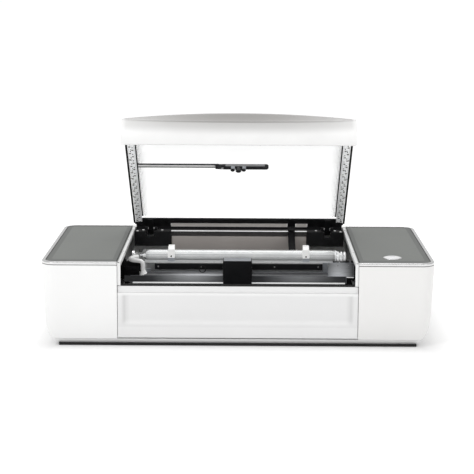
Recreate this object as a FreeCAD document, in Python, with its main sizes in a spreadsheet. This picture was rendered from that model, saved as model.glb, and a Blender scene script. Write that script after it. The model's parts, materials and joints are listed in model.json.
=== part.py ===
"""A desktop laser cutter with a hinged lid, a drop-down front door and a moving gantry.

Millimetres. X runs to the right, Y to the back and Z up. Inside this file every piece is drawn
with Y counted from the front plane of the case, and the lid's pieces are drawn closed, counted
from the lid's hinge line. Each piece's Placement then moves it into the part's frame, whose
origin is under the middle of the object, on the surface that it stands on.
"""
import FreeCAD, Part
import math
import operator
import os

import Sketcher
from FreeCAD import Placement, Rotation, Vector

doc = FreeCAD.newDocument("laser_cutter")

SIZES = {
    # the case
    "body_width": 965, "body_depth": 527, "pod_top": 208.3, "feet_height": 5, "pan_top": 17,
    "pan_inset": 29, "pan_taper": 7.5, "pan_wall": 3, "pan_round": 10, "pan_front": 0.8,
    "pod_width": 187, "pod_waist": 62,
    "pod_waist_inset": 10, "pod_belly_radius": 77.5, "bezel_round": 2.5, "glass_sink": 0.8,
    "corner_radius": 36, "wall": 3,
    "bezel_width": 9, "bezel_height": 8.3, "bezel_ledge": 6, "glass_thick": 4, "seam": 0.5,
    "foot_radius": 15, "foot_across": 380, "foot_inset": 60,
    # the bay between the pods
    "bay_half": 319, "bay_sheet": 3, "bay_front": 16, "bay_wall_top": 190,
    "opening_half": 287.3, "trim_outer": 295.2, "trim_top": 205, "trim_thick": 9,
    "pillar_front": 5, "pillar_deep": 10, "pillar_foot": 149.5, "motor_hole": 8,
    "floor_thick": 3, "tray_half": 284, "tray_front": 40, "tray_back": 470, "tray_top": 62,
    "tray_rim": 12, "bed_thick": 18, "bed_rib": 3, "bed_slots": 11,
    "plenum_half": 186.5, "plenum_front": 480, "plenum_back": 511, "plenum_top": 201,
    "deflector_half": 185, "deflector_foot": 60, "deflector_top": 187, "deflector_thick": 4,
    "deflector_slots": 7, "deflector_pitch": 12, "deflector_margin": 12,
    "cover_inner": 187, "cover_outer": 287, "cover_front": 468, "cover_foot": 161, "sheet": 2,
    "rear_half": 295.2, "rear_deep": 15.5,
    # exhaust, inlet and switch at the back
    "collar_out": 20, "duct_across": 110, "duct_height": 100, "collar_radius": 50,
    "collar_bore": 47, "collar_shoulder": 51, "collar_flange": 60,
    "fan_half": 60, "fan_front": 484, "fan_deep": 25,
    "fan_bore": 57.5, "spoke_half": 3, "rotor_radius": 56, "rotor_hub": 20, "rotor_front": 2,
    "rotor_deep": 18, "blade_count": 7, "blade_root": 18.5, "blade_long": 36.5,
    "blade_thick": 1.6, "blade_wide": 18, "blade_tilt": 42,
    "inlet_across": 400, "inlet_height": 60, "inlet_wide": 48, "inlet_tall": 27,
    "inlet_deep": 30, "inlet_flange": 2, "inlet_well": 16, "inlet_side": 10, "inlet_edge": 5,
    "inlet_rim": 3, "blade_apart": 8, "blade_half": 2, "blade_reach": 13,
    "switch_height": 100, "switch_wide": 30, "switch_tall": 22, "switch_deep": 20,
    "switch_flange": 1.5, "switch_rim": 2, "switch_well": 12, "switch_frame": 3,
    "rocker_side": 4, "rocker_edge": 5, "rocker_deep": 5, "rocker_rise": 2,
    # start button
    "button_across": 382.7, "button_deep": 73, "button_radius": 20.6, "button_rise": 213,
    "button_gap": 0.3, "button_dome": 3, "ring_radius": 23, "button_travel": 2, "cup_deep": 6,
    "cup_floor": 2, "cup_rise": 0.4,
    # the lid
    "lid_open": 42.3, "hinge_deep": 500, "hinge_height": 203.6, "pin_radius": 3, "run_gap": 0.05,
    "knuckle_radius": 6.5, "arm_inner": 236, "arm_outer": 250, "arm_gap": 1.6, "arm_thick": 3,
    "boss_radius": 6, "knuckle_long": 8, "slot_deep": 14,
    "lid_half": 290, "lid_front": 495.8, "lid_back": 25, "lid_under": 3, "lid_thick": 4,
    "rear_bar_front": 51, "rear_bar_back": 34, "rear_bar_deep": 4, "frame_tie": 4,
    "rail_inner": 284.6, "rail_thick": 1, "strip_inner": 266, "strip_outer": 283.6,
    "strip_front": 486, "strip_back": 29.5, "strip_thick": 1.6,
    "visor_half": 291.7, "visor_top": 7.9, "visor_drop": 71, "visor_thick": 4,
    "lip_bulge": 24.6, "lip_root_bulge": 5, "lip_thick": 3.5, "lip_deep": 12,
    "camera_left": -61, "camera_right": 77, "camera_mid": 303.5, "camera_wide": 14.5,
    "camera_deep": 8, "camera_arm_left": -263, "camera_arm_wide": 15, "camera_arm_deep": 2.5,
    "camera_lens_across": -1.1, "camera_lens_reach": 302, "camera_lens_radius": 8,
    "camera_lens_long": 9,
    # the front door
    "door_half": 294.5, "door_foot": 19.3, "door_band": 132, "door_top": 148, "door_deep": 14,
    "band_back": 5, "door_wall": 3, "door_pin_deep": 3.5, "door_pin_height": 22.5,
    "door_pin_radius": 1.95, "door_pin_hole": 2, "door_pin_in": 10, "recess_half": 286,
    "recess_foot": 50, "recess_deep": 1.2, "liner_half": 285, "liner_thick": 2.5,
    "seal_front": 7.5, "seal_deep": 5, "seal_rise": 3.5, "seal_pad_rise": 4.5,
    "seal_pad_across": 186, "seal_pad_long": 60,
    # the gantry
    "beam_half": 250, "beam_front": 300, "beam_deep": 30, "beam_foot": 124, "beam_top": 148,
    "beam_wall": 2.5, "rail_half": 221, "rail_deep": 6, "rail_foot": 131, "rail_top": 146,
    "truck_inner": 279, "truck_outer": 314, "truck_foot": 104.3, "truck_top": 150,
    "leg_inner": 292, "leg_wide": 6, "leg_foot": 78, "plate_front": 296, "plate_foot": 110,
    "right_plate_inner": 222, "right_plate_outer": 305, "left_plate_outer": 302,
    "left_plate_inner": 262, "left_plate_top": 137,
    "apron_half": 284, "apron_front": 276, "apron_foot": 101, "apron_top": 118,
    "apron_thick": 1.5, "apron_slope": 6, "lip_fold": 3, "apron_stay": 238,
    "stay_half": 6, "stay_thick": 2,
    "tube_deep": 352, "tube_height": 158, "tube_radius": 19, "tube_left": -250,
    "tube_right": 262, "tube_neck": 9, "tube_flange": 15, "tube_left_end": -285,
    "tube_right_end": 284, "tube_cap": 8,
    "clamp_across": 179, "clamp_wide": 18, "clamp_half_deep": 26,
    "clamp_top": 184, "clamp_foot": 156, "clamp_fit": 0.2,
    "cradle_thick": 6,
    "motor_side": 35, "motor_long": 34, "x_pulley_across": 260.5, "x_pulley_height": 101.5,
    "x_belt_front": 283, "belt_wide": 7, "pulley_radius": 6.4, "belt_thick": 1.2,
    "pulley_bore": 2.5, "shaft_radius": 2.45, "flange_rise": 2, "flange_thick": 1,
    # the rails and belts under the gantry's ends
    "y_rail_inner": 299, "y_rail_foot": 98, "y_rail_top": 104, "y_rail_front": 40,
    "y_rail_back": 466, "y_belt_inner": 300, "y_belt_height": 80, "y_idler_deep": 45,
    "y_drive_deep": 455,
    # the flat cable carrier
    "ribbon_across": 144, "ribbon_wide": 19, "ribbon_thick": 3, "ribbon_arm_back": 392,
    "ribbon_arm_thick": 5, "ribbon_post": 4, "ribbon_margin": 3,
    # the carriage and its head
    "head_left": -40, "head_right": 35, "head_front": 232, "head_deep": 40, "head_foot": 100,
    "head_top": 166, "head_round": 4, "carrier_radius": 12, "carrier_gap": 0.1,
    "carrier_foot": 92, "carrier_top": 124, "carrier_travel": 4, "nozzle_tip": 82,
    "nozzle_radius": 4, "nozzle_hole": 1.5, "carriage_foot": 133, "carriage_top": 162,
    "carriage_gap": 0.5, "hook_foot": 151, "hook_back": 306, "hook_front": 8, "hook_thick": 3,
    "clamp_arm_top": 93.4, "clamp_arm_half": 12, "clamp_arm_thick": 2.5, "hanger_thick": 2,
    "carrier_wall": 3,
    # sealed inside the pods
    "supply_inner": 335, "supply_wide": 95, "supply_front": 140, "supply_deep": 200,
    "supply_tall": 110, "board_front": 360, "board_deep": 60, "board_side": 25,
    "board_rise": 6, "board_thick": 1.6, "chip_side": 12, "chip_front": 14, "chip_long": 32,
    "chip_deep": 30, "chip_tall": 4.4, "post_inset": 5, "post_radius": 3,
    "tank_inner": 335, "tank_wide": 100, "tank_front": 60, "tank_deep": 180, "tank_tall": 110,
    "tank_wall": 3, "pump_radius": 22, "pump_long": 60, "pump_gap": 4, "pump_rise": 2,
    "cradle_half": 16, "cradle_front": 10, "cradle_long": 34, "radiator_front": 330,
    "radiator_deep": 90, "radiator_side": 30, "radiator_tall": 100,
    "screw_radius": 3, "screw_rise": 1.2,
}

sheet = doc.addObject("Spreadsheet::Sheet", "dims")
for row, (alias, number) in enumerate(SIZES.items(), 1):
    sheet.set(f"A{row}", alias)
    sheet.set(f"B{row}", str(number))
    sheet.setAlias(f"B{row}", alias)


class Size:
    """A number together with the formula, in the sheet's aliases, that gives it."""

    def __init__(self, number, formula=None):
        self.number = number
        self.formula = formula or f"({number})"

    def __neg__(self):
        return Size(-self.number, f"(-{self.formula})")


def as_size(value):
    return value if isinstance(value, Size) else Size(value)


def arithmetic(sign, work):
    """The method and its mirror image for one sign of arithmetic between sizes."""

    def joined(left, right):
        left, right = as_size(left), as_size(right)
        return Size(work(left.number, right.number), f"({left.formula} {sign} {right.formula})")

    return joined, lambda right, left: joined(left, right)


Size.__add__, Size.__radd__ = arithmetic("+", operator.add)
Size.__sub__, Size.__rsub__ = arithmetic("-", operator.sub)
Size.__mul__, Size.__rmul__ = arithmetic("*", operator.mul)
Size.__truediv__, Size.__rtruediv__ = arithmetic("/", operator.truediv)


class Dims:
    """The sheet's sizes by name."""

    def __getattr__(self, alias):
        return Size(SIZES[alias], f"dims.{alias}")


d = Dims()
pod_outer = d.body_width / 2
pod_inner = pod_outer - d.pod_width
front_to_middle = (d.body_depth + d.collar_out) / 2
shell_top = d.pod_top - d.bezel_height
glass_foot = d.pod_top - d.glass_thick - d.glass_sink
floor_top = d.pan_top + d.floor_thick


# --- how pieces are made -----------------------------------------------------------------

nodes = []
ALONG = {
    "x": Rotation(Vector(0, 1, 0), 90),
    "y": Rotation(Vector(1, 0, 0), -90),
    "z": Rotation(),
}


def bind(thing, path, value):
    thing.setExpression(path, as_size(value).formula)


def bind_base(thing, spot, path="Placement"):
    for letter, value in zip("xyz", spot):
        bind(thing, f"{path}.Base.{letter}", value)


def block(x, y, z):
    """A box between two places along each axis."""
    box = doc.addObject("Part::Box", "Block")
    for side, (low, high) in (("Length", x), ("Width", y), ("Height", z)):
        bind(box, side, as_size(high) - low)
    bind_base(box, (x[0], y[0], z[0]))
    return box


def rod(axis, spot, radius, length):
    """A round bar that starts at a spot and runs along an axis."""
    bar = doc.addObject("Part::Cylinder", "Rod")
    bar.Placement = Placement(Vector(), ALONG[axis])
    bind(bar, "Radius", radius)
    bind(bar, "Height", length)
    bind_base(bar, spot)
    return bar


def fuse(*solids):
    joined = doc.addObject("Part::MultiFuse", "Joined")
    joined.Shapes = solids
    return joined


def group(*solids):
    together = doc.addObject("Part::Compound", "Group")
    together.Links = solids
    return together


def cut(whole, *tools):
    left = doc.addObject("Part::Cut", "Left")
    left.Base = whole
    left.Tool = fuse(*tools) if len(tools) > 1 else tools[0]
    return left


def both_sides(make):
    """The right-hand solid and its mirror image, made by one function of the side's sign."""
    return [make(side) for side in (1, -1)]


def span(side, inner, outer):
    """A stretch of X from inner to outer on one side of the middle, lowest end first."""
    return (inner, outer) if side > 0 else (-outer, -inner)


def name_node(label, shape):
    shape.Label = label
    nodes.append(shape)
    return shape


def node(label, shape):
    """A finished piece of the case, gantry, door or carriage."""
    bind(shape, "Placement.Base.y", -front_to_middle)
    return name_node(label, shape)


def lid_node(label, shape):
    """A finished piece of the lid, drawn closed from the hinge line and set open."""
    bind_base(shape, (0, d.hinge_deep - front_to_middle, d.hinge_height))
    for letter, value in zip("xyz", (1, 0, 0)):
        bind(shape, f"Placement.Rotation.Axis.{letter}", value)
    bind(shape, "Placement.Rotation.Angle", -d.lid_open)
    return name_node(label, shape)


def new_body():
    return doc.addObject("PartDesign::Body", "Body")


def new_sketch(body, plane, offset=0):
    """A sketch on one of the body's own origin planes, moved along the plane's normal."""
    sketch = body.newObject("Sketcher::SketchObject", "Sketch")
    support = next(f for f in body.Origin.OriginFeatures if f.Role == f"{plane}_Plane")
    sketch.AttachmentSupport = [(support, "")]
    sketch.MapMode = "FlatFace"
    bind(sketch, "AttachmentOffset.Base.z", offset)
    return sketch


def pin_point(sketch, edge, end, spot):
    """Hold the end of an edge at a spot that the sheet's sizes give."""
    for kind, axis, value in (("DistanceX", -2, spot[0]), ("DistanceY", -1, spot[1])):
        value = as_size(value)
        if value.number == 0:
            sketch.addConstraint(Sketcher.Constraint("PointOnObject", edge, end, axis))
        else:
            at = sketch.addConstraint(Sketcher.Constraint(kind, -1, 1, edge, end, value.number))
            bind(sketch, f"Constraints[{at}]", value)


def outline(sketch, corners, rounds=None):
    """A closed outline. rounds gives the radius of each side that bulges outwards as an arc."""
    rounds = rounds or {}
    first = sketch.GeometryCount
    spots = [Vector(*[as_size(value).number for value in corner], 0) for corner in corners]
    count = len(spots)
    pairs = [(spots[i], spots[(i + 1) % count]) for i in range(count)]
    turning = math.copysign(1, sum(a.x * b.y - b.x * a.y for a, b in pairs))
    for i, (start, end) in enumerate(pairs):
        if i in rounds:
            radius = as_size(rounds[i]).number
            chord = end - start
            sag = radius - math.sqrt(radius**2 - (chord.Length / 2) ** 2)
            outward = Vector(chord.y, -chord.x, 0).normalize() * turning
            sketch.addGeometry(Part.Arc(start, (start + end) / 2 + outward * sag, end))
        else:
            sketch.addGeometry(Part.LineSegment(start, end))
    # an arc counts its ends anticlockwise, whichever way the outline runs
    swapped = [i in rounds and turning < 0 for i in range(count)]
    for i in range(count):
        after = (i + 1) % count
        ends = (1 if swapped[i] else 2), (2 if swapped[after] else 1)
        sketch.addConstraint(
            Sketcher.Constraint("Coincident", first + i, ends[0], first + after, ends[1])
        )
        pin_point(sketch, first + i, 2 if swapped[i] else 1, corners[i])
    for i, radius in rounds.items():
        at = sketch.addConstraint(
            Sketcher.Constraint("Radius", first + i, as_size(radius).number)
        )
        bind(sketch, f"Constraints[{at}]", radius)


def rectangle(sketch, x, y):
    outline(sketch, [(x[0], y[0]), (x[1], y[0]), (x[1], y[1]), (x[0], y[1])])


def circle(sketch, spot, radius):
    spot_now = Vector(*[as_size(value).number for value in spot], 0)
    radius = as_size(radius)
    edge = sketch.addGeometry(Part.Circle(spot_now, Vector(0, 0, 1), radius.number))
    pin_point(sketch, edge, 3, spot)
    at = sketch.addConstraint(Sketcher.Constraint("Radius", edge, radius.number))
    bind(sketch, f"Constraints[{at}]", radius)


def feature(body, kind, sketch, length, reverse=False):
    """A Pad or a Pocket of a sketch."""
    made = body.newObject(f"PartDesign::{kind}", kind)
    made.Profile = sketch
    made.Reversed = reverse
    bind(made, "Length", length)
    return made


def pad(body, sketch, length, reverse=False):
    return feature(body, "Pad", sketch, length, reverse)


def pocket(body, sketch, length, reverse=False):
    """A Pocket, checked to have taken material away."""
    doc.recompute()
    before = body.Shape.Volume
    made = feature(body, "Pocket", sketch, length, reverse)
    doc.recompute()
    if made.Shape.isNull() or made.Shape.Volume > before - 1:
        raise RuntimeError(f"{made.Label} cuts nothing from {body.Label}")
    return made


def revolution(body, sketch, axis):
    turned = body.newObject("PartDesign::Revolution", "Revolution")
    turned.Profile = sketch
    turned.ReferenceAxis = (sketch, [axis])
    turned.Angle = 360
    return turned


def fillet(body, base, radius, wanted):
    """Round the edges that a test picks."""
    doc.recompute()
    edges = [f"Edge{i}" for i, edge in enumerate(base.Shape.Edges, 1) if wanted(edge.BoundBox)]
    rounded = body.newObject("PartDesign::Fillet", "Fillet")
    rounded.Base = (base, edges)
    bind(rounded, "Radius", radius)
    return rounded


def upright(box):
    return box.ZLength > 1 and box.XLength < 0.01 and box.YLength < 0.01


def turned_body(profile, plane="XZ", axis="V_Axis"):
    """A body turned about an axis of its sketch."""
    body = new_body()
    sketch = new_sketch(body, plane)
    outline(sketch, profile)
    revolution(body, sketch, axis)
    return body


# --- the case ----------------------------------------------------------------------------


def base_pan():
    body = new_body()
    half, inset = pod_outer - d.pan_inset, d.pan_front
    plan = new_sketch(body, "XY", d.pan_top)
    rectangle(plan, (-half, half), (inset, d.body_depth - inset))
    tub = pad(body, plan, d.pan_top - d.feet_height, reverse=True)
    tall = SIZES["pan_top"] - SIZES["feet_height"]
    tub.TaperAngle = -math.degrees(math.atan2(SIZES["pan_taper"], tall))
    fillet(
        body, tub, d.pan_round,
        lambda box: 0.5 * tall < box.ZLength < 1.1 * tall and max(box.XLength, box.YLength) < tall,
    )
    hollow = new_sketch(body, "XY", d.pan_top)
    rim = d.pan_taper + d.pan_wall + 2
    rectangle(hollow, (rim - half, half - rim), (rim + inset, d.body_depth - rim))
    pocket(body, hollow, d.pan_top - d.feet_height - d.pan_wall)
    node("base_pan", body)


def pod_solid(side, thick):
    """The pod's whole form, drawn in by thick all round, with a belly that curves under."""
    body = new_body()
    profile = new_sketch(body, "XZ", -thick)
    foot, top = d.pan_top + d.seam + thick, shell_top + thick
    inner = side * (pod_inner - thick)
    corners = [
        (inner, foot),
        (side * (pod_outer - d.pan_inset - thick * 1.5), foot),
        (side * (pod_outer - d.pod_waist_inset - thick), d.pod_waist),
        (side * (pod_outer - thick), top),
        (inner, top),
    ]
    outline(profile, corners, {1: d.pod_belly_radius - thick})
    pad(body, profile, d.body_depth - thick * 2, reverse=True)
    corner_form = pod_plan(side, thick, foot - 1, top - foot + 2, inner_inset=-thick - 1)
    rounded = doc.addObject("Part::MultiCommon", "Rounded")
    rounded.Shapes = [body, corner_form]
    return rounded


def pod_shell(side):
    """A shell open at its top and towards the bay."""
    return cut(pod_solid(side, Size(0)), pod_solid(side, d.wall))


def pod_shells():
    node("left_pod_shell", pod_shell(-1))
    holes = [
        (d.inlet_height, d.inlet_wide, d.inlet_tall),
        (d.switch_height, d.switch_wide, d.switch_tall),
    ]
    cutters = [
        block(
            (d.inlet_across - wide / 2, d.inlet_across + wide / 2),
            (d.body_depth - 2 * d.wall, d.body_depth + d.wall),
            (height - tall / 2, height + tall / 2),
        )
        for height, wide, tall in holes
    ]
    node("right_pod_shell", cut(pod_shell(1), *cutters))


def pod_plan(side, inset, foot, tall, inner_inset=0):
    """A slab with the pod's plan, drawn in by inset on its three outer sides."""
    body = new_body()
    plan = new_sketch(body, "XY", foot)
    x = span(side, pod_inner + inner_inset, pod_outer - inset)
    rectangle(plan, x, (inset, d.body_depth - inset))
    slab = pad(body, plan, tall)
    middle = pod_outer.number - SIZES["pod_width"] / 2
    fillet(
        body, slab, d.corner_radius - inset,
        lambda box: upright(box) and side * box.XMin > middle,
    )
    return body


def pod_bezel(side):
    """A chromed frame round three sides of a pod's glass, with a ledge that carries it."""
    frame = pod_plan(side, Size(0), shell_top, d.bezel_height)
    doc.recompute()
    middle = pod_outer.number - SIZES["pod_width"] / 2
    fillet(
        frame, frame.Tip, d.bezel_round,
        lambda box: box.ZLength < 0.01 and box.ZMin > shell_top.number + 1
        and max(side * box.XMin, side * box.XMax) > middle,
    )
    seat = pod_plan(side, d.bezel_width, glass_foot, d.bezel_height, inner_inset=-1)
    hole = pod_plan(
        side, d.bezel_width + d.bezel_ledge, shell_top - 1, d.bezel_height + 2, inner_inset=-1
    )
    return cut(frame, seat, hole)


def pod_tops():
    node("pod_bezels", group(*both_sides(pod_bezel)))
    inset, gap = d.bezel_width + 0.2, Size(0.2)
    button_hole = rod(
        "z", (d.button_across, d.button_deep, shell_top - 1), d.ring_radius + 0.1,
        d.bezel_height * 2,
    )
    right = cut(pod_plan(1, inset, glass_foot, d.glass_thick, gap), button_hole)
    node("pod_glasses", group(right, pod_plan(-1, inset, glass_foot, d.glass_thick, gap)))


def feet():
    y_places = (d.foot_inset, d.body_depth - d.foot_inset)
    discs = [
        rod("z", (across, deep, 0), d.foot_radius, d.feet_height)
        for across in (d.foot_across, -d.foot_across)
        for deep in y_places
    ]
    node("feet", group(*discs))


def bay_trim(side):
    """A white top rail along the pod, with a pillar beside the door opening."""
    x = span(side, d.opening_half, d.trim_outer)
    rail = block(
        x, (d.pillar_front, d.body_depth - d.rear_deep), (d.trim_top - d.trim_thick, d.trim_top)
    )
    pillar = block(
        x, (d.pillar_front, d.pillar_front + d.pillar_deep), (d.pillar_foot, d.trim_top)
    )
    return fuse(rail, pillar)


def bay_wall(side):
    """A black side sheet under the pod's glass, with a jamb at its front."""
    back = d.body_depth - d.rear_deep - 1
    z = (d.pan_top + d.seam + d.wall, d.bay_wall_top)
    sheet_wall = block(span(side, d.bay_half - d.bay_sheet, d.bay_half), (d.bay_front, back), z)
    jamb_x = span(side, pod_inner + d.seam, d.bay_half)
    jamb = block(jamb_x, (d.bay_front - d.bay_sheet, d.bay_front), z)
    start = (d.bay_half * side - d.bay_sheet * 2, d.y_drive_deep, d.y_belt_height)
    shaft_hole = rod("x", start, d.motor_hole, d.bay_sheet * 4)
    return cut(fuse(sheet_wall, jamb), shaft_hole)


def bay():
    node("bay_trims", group(*both_sides(bay_trim)))
    node("bay_walls", group(*both_sides(bay_wall)))
    back = d.body_depth - d.rear_deep - 1
    floor_half = pod_inner - d.seam
    floor = block((-floor_half, floor_half), (d.bay_front, back), (d.pan_top, floor_top))
    node("bay_floor", group(floor))
    tray_x, tray_y = (-d.tray_half, d.tray_half), (d.tray_front, d.tray_back)
    inner_x = (d.tray_rim - d.tray_half, d.tray_half - d.tray_rim)
    inner_y = (d.tray_front + d.tray_rim, d.tray_back - d.tray_rim)
    rim = cut(
        block(tray_x, tray_y, (floor_top, d.tray_top)),
        block(inner_x, inner_y, (floor_top - 1, d.tray_top + 1)),
    )
    node("tray_frame", rim)
    cutting_bed(inner_x, inner_y)


def cutting_bed(x, y):
    """A bed of slats across the tray."""
    body = new_body()
    bed_foot = d.tray_top - d.bed_thick
    plan = new_sketch(body, "XY", bed_foot)
    rectangle(plan, x, y)
    pad(body, plan, d.bed_thick)
    pitch = (y[1] - y[0] - d.bed_rib) / d.bed_slots
    first = new_sketch(body, "XY", bed_foot)
    rectangle(first, (x[0] + d.bed_rib, x[1] - d.bed_rib), (y[0] + d.bed_rib, y[0] + pitch))
    slot = pocket(body, first, d.bed_thick, reverse=True)
    pattern = body.newObject("PartDesign::LinearPattern", "Slots")
    pattern.Originals = [slot]
    pattern.Direction = (first, ["V_Axis"])
    bind(pattern, "Length", pitch * (d.bed_slots - 1))
    bind(pattern, "Occurrences", d.bed_slots)
    body.Tip = pattern
    node("honeycomb_bed", body)


def rear_parts():
    plenum_x = (-d.plenum_half, d.plenum_half)
    wall_y = (d.plenum_front, d.plenum_front + d.bay_sheet)
    wall = block(plenum_x, wall_y, (floor_top, d.plenum_top))
    shelf_z = (d.plenum_top - d.bay_sheet, d.plenum_top)
    shelf = block(plenum_x, (d.plenum_front, d.plenum_back), shelf_z)
    vent = rod("y", (d.duct_across, d.plenum_front - 5, d.duct_height), d.rotor_radius, 10)
    node("rear_plenum", cut(fuse(wall, shelf), vent))
    rear_deflector()
    node("hinge_covers", group(*both_sides(hinge_cover)))
    rear_cover()


def rear_deflector():
    """A warm grey plate with rows of slots in front of the plenum."""
    body = new_body()
    front = d.plenum_front - d.deflector_thick
    face = new_sketch(body, "XZ", -front)
    rectangle(face, (-d.deflector_half, d.deflector_half), (d.deflector_foot, d.deflector_top))
    pad(body, face, d.deflector_thick, reverse=True)
    first = new_sketch(body, "XZ", -front)
    half = d.deflector_half - d.deflector_margin
    foot = d.deflector_foot + d.deflector_margin
    rectangle(first, (-half, half), (foot, foot + d.deflector_pitch / 3))
    slot = pocket(body, first, d.deflector_thick)
    pattern = body.newObject("PartDesign::LinearPattern", "Slots")
    pattern.Originals = [slot]
    pattern.Direction = (first, ["V_Axis"])
    bind(pattern, "Length", d.deflector_pitch * (d.deflector_slots - 1))
    bind(pattern, "Occurrences", d.deflector_slots)
    body.Tip = pattern
    node("rear_deflector", body)


def hinge_cover(side):
    """A folded sheet box over one hinge, with knuckles each side of the arm's slot."""
    x = span(side, d.cover_inner, d.cover_outer)
    box = block(x, (d.cover_front, d.plenum_back), (d.cover_foot, d.plenum_top))
    inside = block(
        (x[0] + d.sheet, x[1] - d.sheet),
        (d.cover_front + d.sheet, d.plenum_back + 1),
        (d.cover_foot - 1, d.plenum_top - d.sheet),
    )
    knuckles = [
        rod("x", (start, d.hinge_deep, d.hinge_height), d.knuckle_radius, d.knuckle_long)
        for start in hinge_knuckle_starts(side)
    ]
    slot = block(
        span(side, d.arm_inner - d.arm_gap, d.arm_outer + d.arm_gap),
        (d.cover_front - 1, d.plenum_back + 1),
        (d.plenum_top - d.slot_deep, d.plenum_top + d.slot_deep),
    )
    across = d.cover_outer - d.cover_inner
    bore = rod("x", (x[0] - 1, d.hinge_deep, d.hinge_height), d.pin_radius, across)
    return cut(fuse(cut(box, inside), *knuckles), slot, bore)


def hinge_knuckle_starts(side):
    """Where the fixed knuckles start along X, one each side of the arm."""
    inner = d.arm_inner - d.arm_gap - d.knuckle_long
    outer = d.arm_outer + d.arm_gap
    return [inner, outer] if side > 0 else [-inner - d.knuckle_long, -outer - d.knuckle_long]


def rear_cover():
    """A white channel that closes the back between the pods, bored for the exhaust."""
    body = new_body()
    front = d.body_depth - d.rear_deep
    face = new_sketch(body, "XZ", -front)
    rectangle(face, (-d.rear_half, d.rear_half), (d.pan_top + d.seam, d.pod_top))
    pad(body, face, d.rear_deep, reverse=True)
    hollow = new_sketch(body, "XZ", -front)
    rectangle(
        hollow, (d.wall - d.rear_half, d.rear_half - d.wall),
        (d.pan_top + d.seam + d.wall, d.pod_top - d.wall),
    )
    pocket(body, hollow, d.rear_deep - d.wall)
    duct = new_sketch(body, "XZ", -front)
    circle(duct, (d.duct_across, d.duct_height), d.collar_shoulder)
    pocket(body, duct, d.rear_deep)
    node("rear_cover", body)


def exhaust():
    """The collar that a hose slips over, and the fan that blows through it."""
    inside = d.body_depth - d.wall
    flange_front = inside - d.wall
    collar = turned_body(
        [
            (d.collar_bore, -flange_front), (d.collar_flange, -flange_front),
            (d.collar_flange, -inside), (d.collar_shoulder, -inside),
            (d.collar_shoulder, -d.body_depth), (d.collar_radius, -d.body_depth),
            (d.collar_radius, -(d.body_depth + d.collar_out)),
            (d.collar_bore, -(d.body_depth + d.collar_out)),
        ],
        plane="XY",
    )
    set_along_duct(collar, "exhaust_collar")
    frame = cut(
        block(
            (d.duct_across - d.fan_half, d.duct_across + d.fan_half),
            (d.fan_front, d.fan_front + d.fan_deep),
            (d.duct_height - d.fan_half, d.duct_height + d.fan_half),
        ),
        rod("y", (d.duct_across, d.fan_front - 1, d.duct_height), d.fan_bore, d.fan_deep + 2),
    )
    spoke_y = (d.fan_front + d.fan_deep - d.wall, d.fan_front + d.fan_deep)
    spokes = [
        block(
            (d.duct_across - d.fan_half, d.duct_across + d.fan_half),
            spoke_y, (d.duct_height - d.spoke_half, d.duct_height + d.spoke_half),
        ),
        block(
            (d.duct_across - d.spoke_half, d.duct_across + d.spoke_half),
            spoke_y, (d.duct_height - d.fan_half, d.duct_height + d.fan_half),
        ),
    ]
    boss = rod("y", (d.duct_across, spoke_y[0], d.duct_height), d.rotor_hub, d.wall)
    node("exhaust_fan_frame", fuse(frame, boss, *spokes))
    exhaust_rotor()


def set_along_duct(body, label):
    """Place a body that was turned about its own Y axis on the duct's line, facing back."""
    name_node(label, body)
    body.Placement = Placement(Vector(), Rotation(Vector(0, 0, 1), 180))
    bind_base(body, (d.duct_across, -front_to_middle, d.duct_height))


def exhaust_rotor():
    """A hub with twisted blades, whose line is the duct's."""
    front = d.fan_front + d.rotor_front
    hub = rod("y", (d.duct_across, front, d.duct_height), d.rotor_hub, d.rotor_deep)
    middle = Vector(0, -SIZES["blade_thick"] / 2, -SIZES["blade_wide"] / 2)
    tilt = Rotation(Vector(1, 0, 0), SIZES["blade_tilt"])
    reach = Placement(Vector(SIZES["blade_root"], 0, 0), tilt) * Placement(middle, Rotation())
    blades = []
    for turn in range(SIZES["blade_count"]):
        blade = doc.addObject("Part::Box", "Blade")
        for side, size in (("Length", d.blade_long), ("Width", d.blade_thick),
                           ("Height", d.blade_wide)):
            bind(blade, side, size)
        around = Rotation(Vector(0, 1, 0), turn * 360 / SIZES["blade_count"])
        blade.Placement = Placement(Vector(), around) * reach
        bladed = group(blade)
        bind_base(bladed, (d.duct_across, front + d.rotor_deep / 2, d.duct_height))
        blades.append(bladed)
    node("exhaust_rotor", fuse(hub, *blades))


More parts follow.
